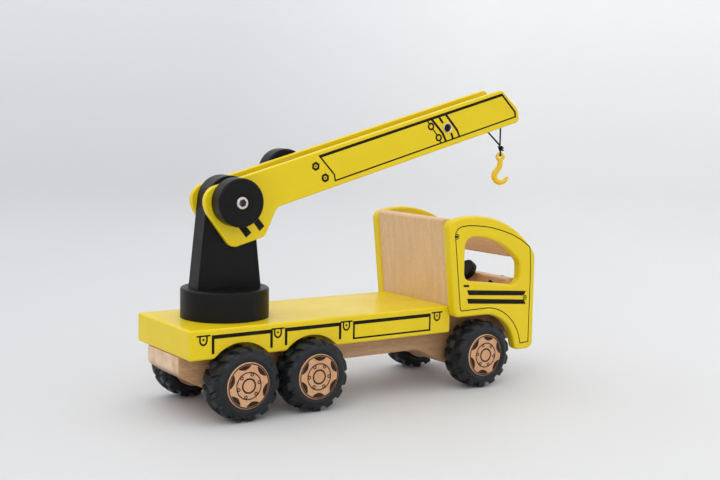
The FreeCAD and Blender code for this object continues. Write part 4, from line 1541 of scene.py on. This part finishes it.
    def runs(self, finish: bpy.types.Material) -> None:
        """Both runs inside the boom, from the winding to the nose roller and to the guide pin.

        Args:
            finish: the cord's material.
        """
        spot = self.crane.spot
        y = self.half_spread
        front = [spot(69.2, 11.3, y), spot(209.5, 7.5, y), spot(217.9, 7.3, y), spot(226.3, 6.5, y),
                 spot(282.5, 0.5, y), spot(291.5, -0.1, y), spot(291.9, -4.4, y)]
        rear = [spot(69.2, 11.3, -y), spot(209.5, -6.3, -y), spot(217.9, -7.3, -y), spot(226.3, -7.5, -y),
                spot(258.2, -7.8, -y), spot(262.5, -7.7, -y), spot(264.4, -8.9, -y)]
        for name, route in (("front", front), ("rear", rear)):
            piece, line, length = self.strand(f"boom_cord_{name}", f"cord_{name}_run", route, finish)
            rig.ride(piece, "boom")
            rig.cord(piece, exit=line[0], length=length, diameter=self.diameter * MM, far_end="object",
                    stiffness="limp", lay="taut", path=line)

    def falls(self, finish: bpy.types.Material, hung: list[bpy.types.Object]) -> None:
        """Both falls from the boom's nose to the knot, which stretch as the hook is lowered.

        Args:
            finish: the cord's material.
            hung: the pieces that hang on them.
        """
        y = self.half_spread
        foot_up = (self.knot[2] - self.nose[2]) / MM + 2.5
        front = [self.off(self.nose, -0.68, 3.84, y), self.off(self.nose, 4.1, 4.1, y),
                 self.off(self.nose, self.hang, -8.4, y), self.off(self.nose, self.hang, foot_up, y)]
        ahead, _, up = self.apart(self.guide, self.knot)
        rear = [self.off(self.guide, -0.62, 2.32, -y), self.off(self.guide, 0.8, 2.75, -y),
                self.off(self.guide, 8.0, -3.5, -y), self.off(self.guide, ahead - 1.4, up + 2.5, -y)]
        for name, route in (("front", front), ("rear", rear)):
            piece, line, length = self.strand(f"hanging_cord_{name}", f"cord_{name}_fall", route, finish)
            top = self.off(self.nose, self.hang, -6.0) if name == "front" else self.off(self.guide, 4.0, -4.0)
            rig.blend(piece, "cord_falls", "hook", start=top, end=np.array([top[0], top[1], line[-1][2]]))
            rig.cord(piece, exit=line[0], length=length, diameter=self.diameter * MM,
                    far_end="tool" if name == "front" else "object", stiffness="limp", lay="hanging",
                    path=line, with_pieces=hung if name == "front" else ())

    def apart(self, start: Array, end: Array) -> tuple[float, float, float]:
        """How far one point is from another, in millimetres, as the crane points.

        Args:
            start: the first point.
            end: the other one.

        Returns:
            How far the end is ahead of, to the left of and above the start.
        """
        gap = (end - start) / MM
        return float(gap @ self.crane.ahead), float(gap @ self.crane.left), float(gap[2])

    def knot_piece(self, finish: bpy.types.Material) -> bpy.types.Object:
        """Tight knot: a closed three-lobed line wound round itself, with two short cut tails.

        The line is (sin a + 2 sin 2a, cos a - 2 cos 2a, -sin 3a), scaled to the knot's size. A tail
        runs sideways and drops with the square of the distance.

        Args:
            finish: the cord's material.

        Returns:
            The knot.
        """
        shell = Shell("tied_knot")
        angle = circle(180)
        lobes = np.stack([np.sin(angle) + 2 * np.sin(2 * angle), np.cos(angle) - 2 * np.cos(2 * angle),
                          -np.sin(3 * angle)], axis=1) * np.array(self.knot_size) * MM
        right = unit(self.crane.ahead - self.knot_turn * self.crane.left)
        away = np.cross(right, UP)
        line = self.knot + lobes[:, :1] * right + lobes[:, 1:2] * UP + lobes[:, 2:] * away
        ahead = unit(np.roll(line, -1, axis=0) - np.roll(line, 1, axis=0))
        radial = unit(line - self.knot + 0.2 * MM * away)
        first = unit(radial - (radial * ahead).sum(1, keepdims=True) * ahead)
        self.twisted_ring(shell, line, self.knot_strand, (first, np.cross(ahead, first)), 24)
        share = np.linspace(0, 1, 10)[:, None]
        for rise, drop in self.tails:
            tail = right * (0.6 + 2.3 * share) + UP * (rise + drop * share ** 2) + away * 0.3 * rise
            self.tube(shell, self.knot + tail * MM, self.tail_strand * MM, away, 14)
        return fit(shell.make(finish, CORD_SHARP), "hook", "cord", "cord_knot")

    def loop_piece(self, finish: bpy.types.Material) -> bpy.types.Object:
        """Loop from the knot through the hook's eye: a tall oval ring of cord.

        Args:
            finish: the cord's material.

        Returns:
            The loop.
        """
        low, high = corners("cord_loop")
        centre = (low + high) / 2
        across = np.array([*turn(self.hook_twist + 90.0)[0], 0.0])
        angle = circle(72)[:, None]
        half = (high[2] - low[2]) / 2 - self.loop_inset * MM
        line = centre + np.cos(angle) * across * half * self.loop_narrowness + np.sin(angle) * UP * half
        shell = Shell("eye_loop")
        around = (unit(line - centre), unit(np.cross(across, UP)))
        self.twisted_ring(shell, line, self.loop_strand, around, 14)
        return fit(shell.make(finish, CORD_SHARP), "hook", "cord", "cord_loop")

    def hook_piece(self, finish: bpy.types.Material) -> bpy.types.Object:
        """Moulded hook: eye ring, waisted shank and a bowl that thins to its tip, grown together.

        The middle line runs down the shank, swings out and follows a circle round the bowl to a tip
        that opens outward; it is evened out by a sliding mean. Its radius swells in the bowl and
        falls towards the tip, which closes as a half ball. The eye is a ring. Both are joined by a
        fine voxel remesh and smoothed.

        Args:
            finish: the plastic.

        Returns:
            The hook.
        """
        low, high = corners("hook")
        middle = self.off(self.nose, self.hang, 0.0)
        plane = np.array([*turn(self.hook_twist)[0], 0.0])
        normal = np.cross(UP, plane)
        eye = np.array([middle[0], middle[1], high[2] - (self.eye_ring + self.eye_wire) * MM])
        bowl = np.array([middle[0], middle[1], low[2] + (self.bowl_ring + self.hook_wire) * MM])
        rise = (eye[2] - bowl[2]) / MM
        knees = np.array([[0.1, rise - 2.6], [0.2, rise - 4.5], [0.1, rise - 7.2], [-0.4, rise - 9.4],
                          [-2.0, rise - 11.6]])
        bend = np.array([0.9, 0.0]) + self.bowl_ring * turn(np.linspace(*self.hook_sweep, 24))
        tip = bend[-1] + np.array([[0.65, 0.95], [1.5, 1.9]])
        flat = self.evened(np.concatenate([knees, bend, tip]), 130)
        reach = self.mean_width // 2
        weights = np.hanning(self.mean_width) / np.hanning(self.mean_width).sum()
        padded = np.concatenate([2 * flat[0] - flat[reach:0:-1], flat, 2 * flat[-1] - flat[-2:-reach - 2:-1]])
        flat = np.column_stack([np.convolve(column, weights, "valid") for column in padded.T])
        line = bowl + (flat[:, :1] * plane + flat[:, 1:] * UP) * MM
        share = np.linspace(0, 1, len(flat))
        thick = np.interp(share, self.hook_shares, self.hook_radii)
        thick *= np.sqrt(np.clip((1.0 - share) / self.tip_share, 0.02, 1.0))
        side = np.cross(unit(np.gradient(line, axis=0)), normal)
        around = circle(28)[None, :, None]
        shell = Shell("moulded_hook")
        shell.grid(line[:, None] + thick[:, None, None] * MM * (
            np.cos(around) * side[:, None] + self.hook_flatness * np.sin(around) * normal))
        ring = circle(64)[:, None]
        out = np.cos(ring) * plane + np.sin(ring) * UP
        wire = circle(24)[None, :, None]
        shell.grid(eye + out[:, None] * self.eye_ring * MM + self.eye_wire * MM * (
            np.cos(wire) * out[:, None] + np.sin(wire) * normal), round_u=True)
        return fit(self.grown(shell.make(finish, ALL_SMOOTH)), "hook", "hook_plastic", "hook")

    def grown(self, piece: bpy.types.Object) -> bpy.types.Object:
        """Join a piece's closed surfaces into one skin, and soften where they meet.

        Args:
            piece: the piece.

        Returns:
            The same piece, with its new mesh.
        """
        remesh = piece.modifiers.new("grow_together", "REMESH")
        remesh.mode = "VOXEL"
        remesh.voxel_size = self.voxel * MM
        smooth = piece.modifiers.new("soften", "SMOOTH")
        smooth.iterations = self.soften
        bpy.context.view_layer.update()
        mesh = bpy.data.meshes.new_from_object(piece.evaluated_get(bpy.context.evaluated_depsgraph_get()))
        piece.modifiers.clear()
        piece.data = mesh
        mesh.polygons.foreach_set("use_smooth", np.ones(len(mesh.polygons), bool))
        return piece

    def winding(self, finish: bpy.types.Material) -> None:
        """Cord wound on the spool: a turned surface whose radius rises in one ridge per turn.

        Each ridge is a half ellipse across one diameter of the cord.

        Args:
            finish: the cord's material.
        """
        half = self.winding_half
        y = np.linspace(-half, half, 61)
        place = (y / self.diameter + 0.5) % 1.0 * 2 - 1
        ridge = self.winding_radius + self.winding_ridge * np.sqrt(np.clip(1 - place ** 2, 0, 1))
        core = [self.winding_core]
        profile = np.column_stack([np.concatenate([core, ridge, core]), np.concatenate([[-half], y, [half]])])
        fit(self.crane.turned("wound_cord", *self.winding_place, profile, finish), "winch", "cord",
            "cord_winding")

    def build(self, palette: Palette) -> None:
        """Make all that hangs from or is wound on the crane.

        Args:
            palette: the finishes.
        """
        hung = [self.knot_piece(palette.cord), self.loop_piece(palette.cord),
                self.hook_piece(palette.plastic)]
        self.runs(palette.cord)
        self.falls(palette.cord, hung)
        self.winding(palette.cord)


@dataclass(frozen=True)
class Studio:
    """Camera, floor and soft light."""

    camera_place: tuple[float, float, float] = (-0.57511, -0.87783, 0.24983)
    yaw: float = 56.043
    pitch: float = 6.349
    roll: float = 0.934
    lens: float = 60.318
    sensor: float = 36.0
    floor_radius: float = 2.4
    bend_radius: float = 2.2
    wall_height: float = 4.0
    thickness: float = 0.05
    floor_tone: tuple[float, float, float] = (0.70, 0.70, 0.70)
    wall_tone: tuple[float, float, float] = (0.995, 0.995, 0.998)
    # Painted shade: the floor and wall are multiplied by this tone towards the camera's left.
    left_shade: tuple[float, float, float] = (0.84, 0.845, 0.86)
    backdrop: tuple[float, float, float] = (0.985, 0.99, 1.0)
    sky: float = 1.26
    aim_height: float = 0.1

    def aim(self) -> tuple[Array, Array, Array]:
        """Directions of the camera.

        Returns:
            Its right, up and forward directions.
        """
        yaw, pitch, roll = (math.radians(a) for a in (self.yaw, self.pitch, self.roll))
        heading = np.array([math.cos(yaw), math.sin(yaw), 0.0])
        forward = math.cos(pitch) * heading - math.sin(pitch) * UP
        level = np.array([math.sin(yaw), -math.cos(yaw), 0.0])
        above = np.cross(level, forward)
        right = math.cos(roll) * level + math.sin(roll) * above
        return right, np.cross(right, forward), forward

    def camera(self) -> None:
        """Stand the camera."""
        data = bpy.data.cameras.new("camera")
        data.lens = self.lens
        data.sensor_width = self.sensor
        camera = bpy.data.objects.new("camera", data)
        right, up, forward = self.aim()
        turned = Matrix(np.column_stack([right, up, -forward]).tolist()).to_4x4()
        camera.matrix_world = Matrix.Translation(self.camera_place) @ turned
        bpy.context.scene.collection.objects.link(camera)
        bpy.context.scene.camera = camera

    def floor(self) -> None:
        """Lay a round pale floor that turns up into a wall all round, with no corner.

        Its profile is level, then a quarter circle, then upright, turned about the middle; its tone is painted darker
        to the camera's left as shade.
        """
        bend = np.linspace(0.0, 90.0, 25)
        foot = self.floor_radius + self.bend_radius * np.sin(np.radians(bend))
        rise = self.bend_radius * (1 - np.cos(np.radians(bend)))
        middle, outside = [0.001, 0.4, 0.8, 1.2, 1.6], foot[-1] + self.thickness
        reach = np.concatenate([middle, foot, [foot[-1], outside, outside, middle[0]]])
        height = np.concatenate([np.zeros(len(middle)), rise,
                                 [self.wall_height, self.wall_height, -self.thickness, -self.thickness]])
        spokes = turn(np.linspace(0, 360, 128, endpoint=False))
        points = np.concatenate([reach[:, None, None] * spokes,
                                 np.broadcast_to(height[:, None, None], (len(height), 128, 1))], axis=2)
        shell = Shell("floor")
        shell.grid(points)
        material = bpy.data.materials.new("pale_floor")
        material.use_nodes = True
        shader = material.node_tree.nodes["Principled BSDF"]
        tree = Tree(material.node_tree)
        where = tree.add("TexCoord").outputs["Object"]
        height = tree.add("SeparateXYZ", {0: where}).outputs["Z"]
        tone = tree.blend(tree.spread(height, 0.0, 1.2), colour(*self.floor_tone), colour(*self.wall_tone))
        # Painted shade: darker towards the camera's left.
        aside = tree.add("VectorMath", {0: where, 1: self.aim()[0].tolist()}, operation="DOT_PRODUCT")
        left = tree.spread(aside.outputs["Value"], -0.5, 0.5, 1.0, 0.0)
        tone = tree.blend(left, tone, colour(*self.left_shade), "MULTIPLY")
        material.node_tree.links.new(tone, shader.inputs["Base Color"])
        shader.inputs["Roughness"].default_value = 0.6
        shader.inputs["Specular IOR Level"].default_value = 0.2
        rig.stage(shell.make(material))

    def light(self, name: str, place: Array, size: float, power: float) -> None:
        """Hang one square soft light that faces the truck.

        Args:
            name: its name.
            place: where it hangs, in metres.
            size: its side, in metres.
            power: its power, in watts.
        """
        data = bpy.data.lights.new(name, "AREA")
        data.size = size
        data.energy = power
        lamp = bpy.data.objects.new(name, data)
        back = unit(place - self.aim_height * UP)
        side = unit(np.cross(UP, back))
        turned = Matrix(np.column_stack([side, np.cross(back, side), back]).tolist()).to_4x4()
        lamp.matrix_world = Matrix.Translation(place.tolist()) @ turned
        bpy.context.scene.collection.objects.link(lamp)

    def build(self) -> None:
        """Set up the studio."""
        self.camera()
        self.floor()
        right, _, forward = self.aim()
        self.light("key", -right * 1.15 + UP * 1.75 + forward * 0.1, 2.0, 6.5)
        self.light("front", -forward * 1.6 + UP * 0.9 - right * 0.3, 1.6, 5.0)
        world = bpy.data.worlds.new("studio")
        world.use_nodes = True
        background = world.node_tree.nodes["Background"]
        background.inputs["Color"].default_value = colour(*self.backdrop)
        background.inputs["Strength"].default_value = self.sky
        bpy.context.scene.world = world
        bpy.context.scene.view_settings.view_transform = "Standard"
        LOG.info("studio ready")


def write_sizes() -> None:
    """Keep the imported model's box and the finished model's box."""
    boxes = {"cad": [list(c) for c in CAD_BOX], "visual": [list(c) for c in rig.bounds()]}
    with open(SIZE_FILE, "w") as out:
        json.dump(boxes, out)


def main() -> None:
    """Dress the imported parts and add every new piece."""
    logging.basicConfig(level=logging.INFO, format="%(name)s: %(message)s")
    palette = Palette()
    palette.dress(frame["nodes"])
    Wheels().build(palette)
    TruckPrint().build(palette)
    crane = Crane()
    crane.build(palette)
    Rigging(crane).build(palette)
    Studio().build()
    write_sizes()


if __name__ == "__main__":
    main()
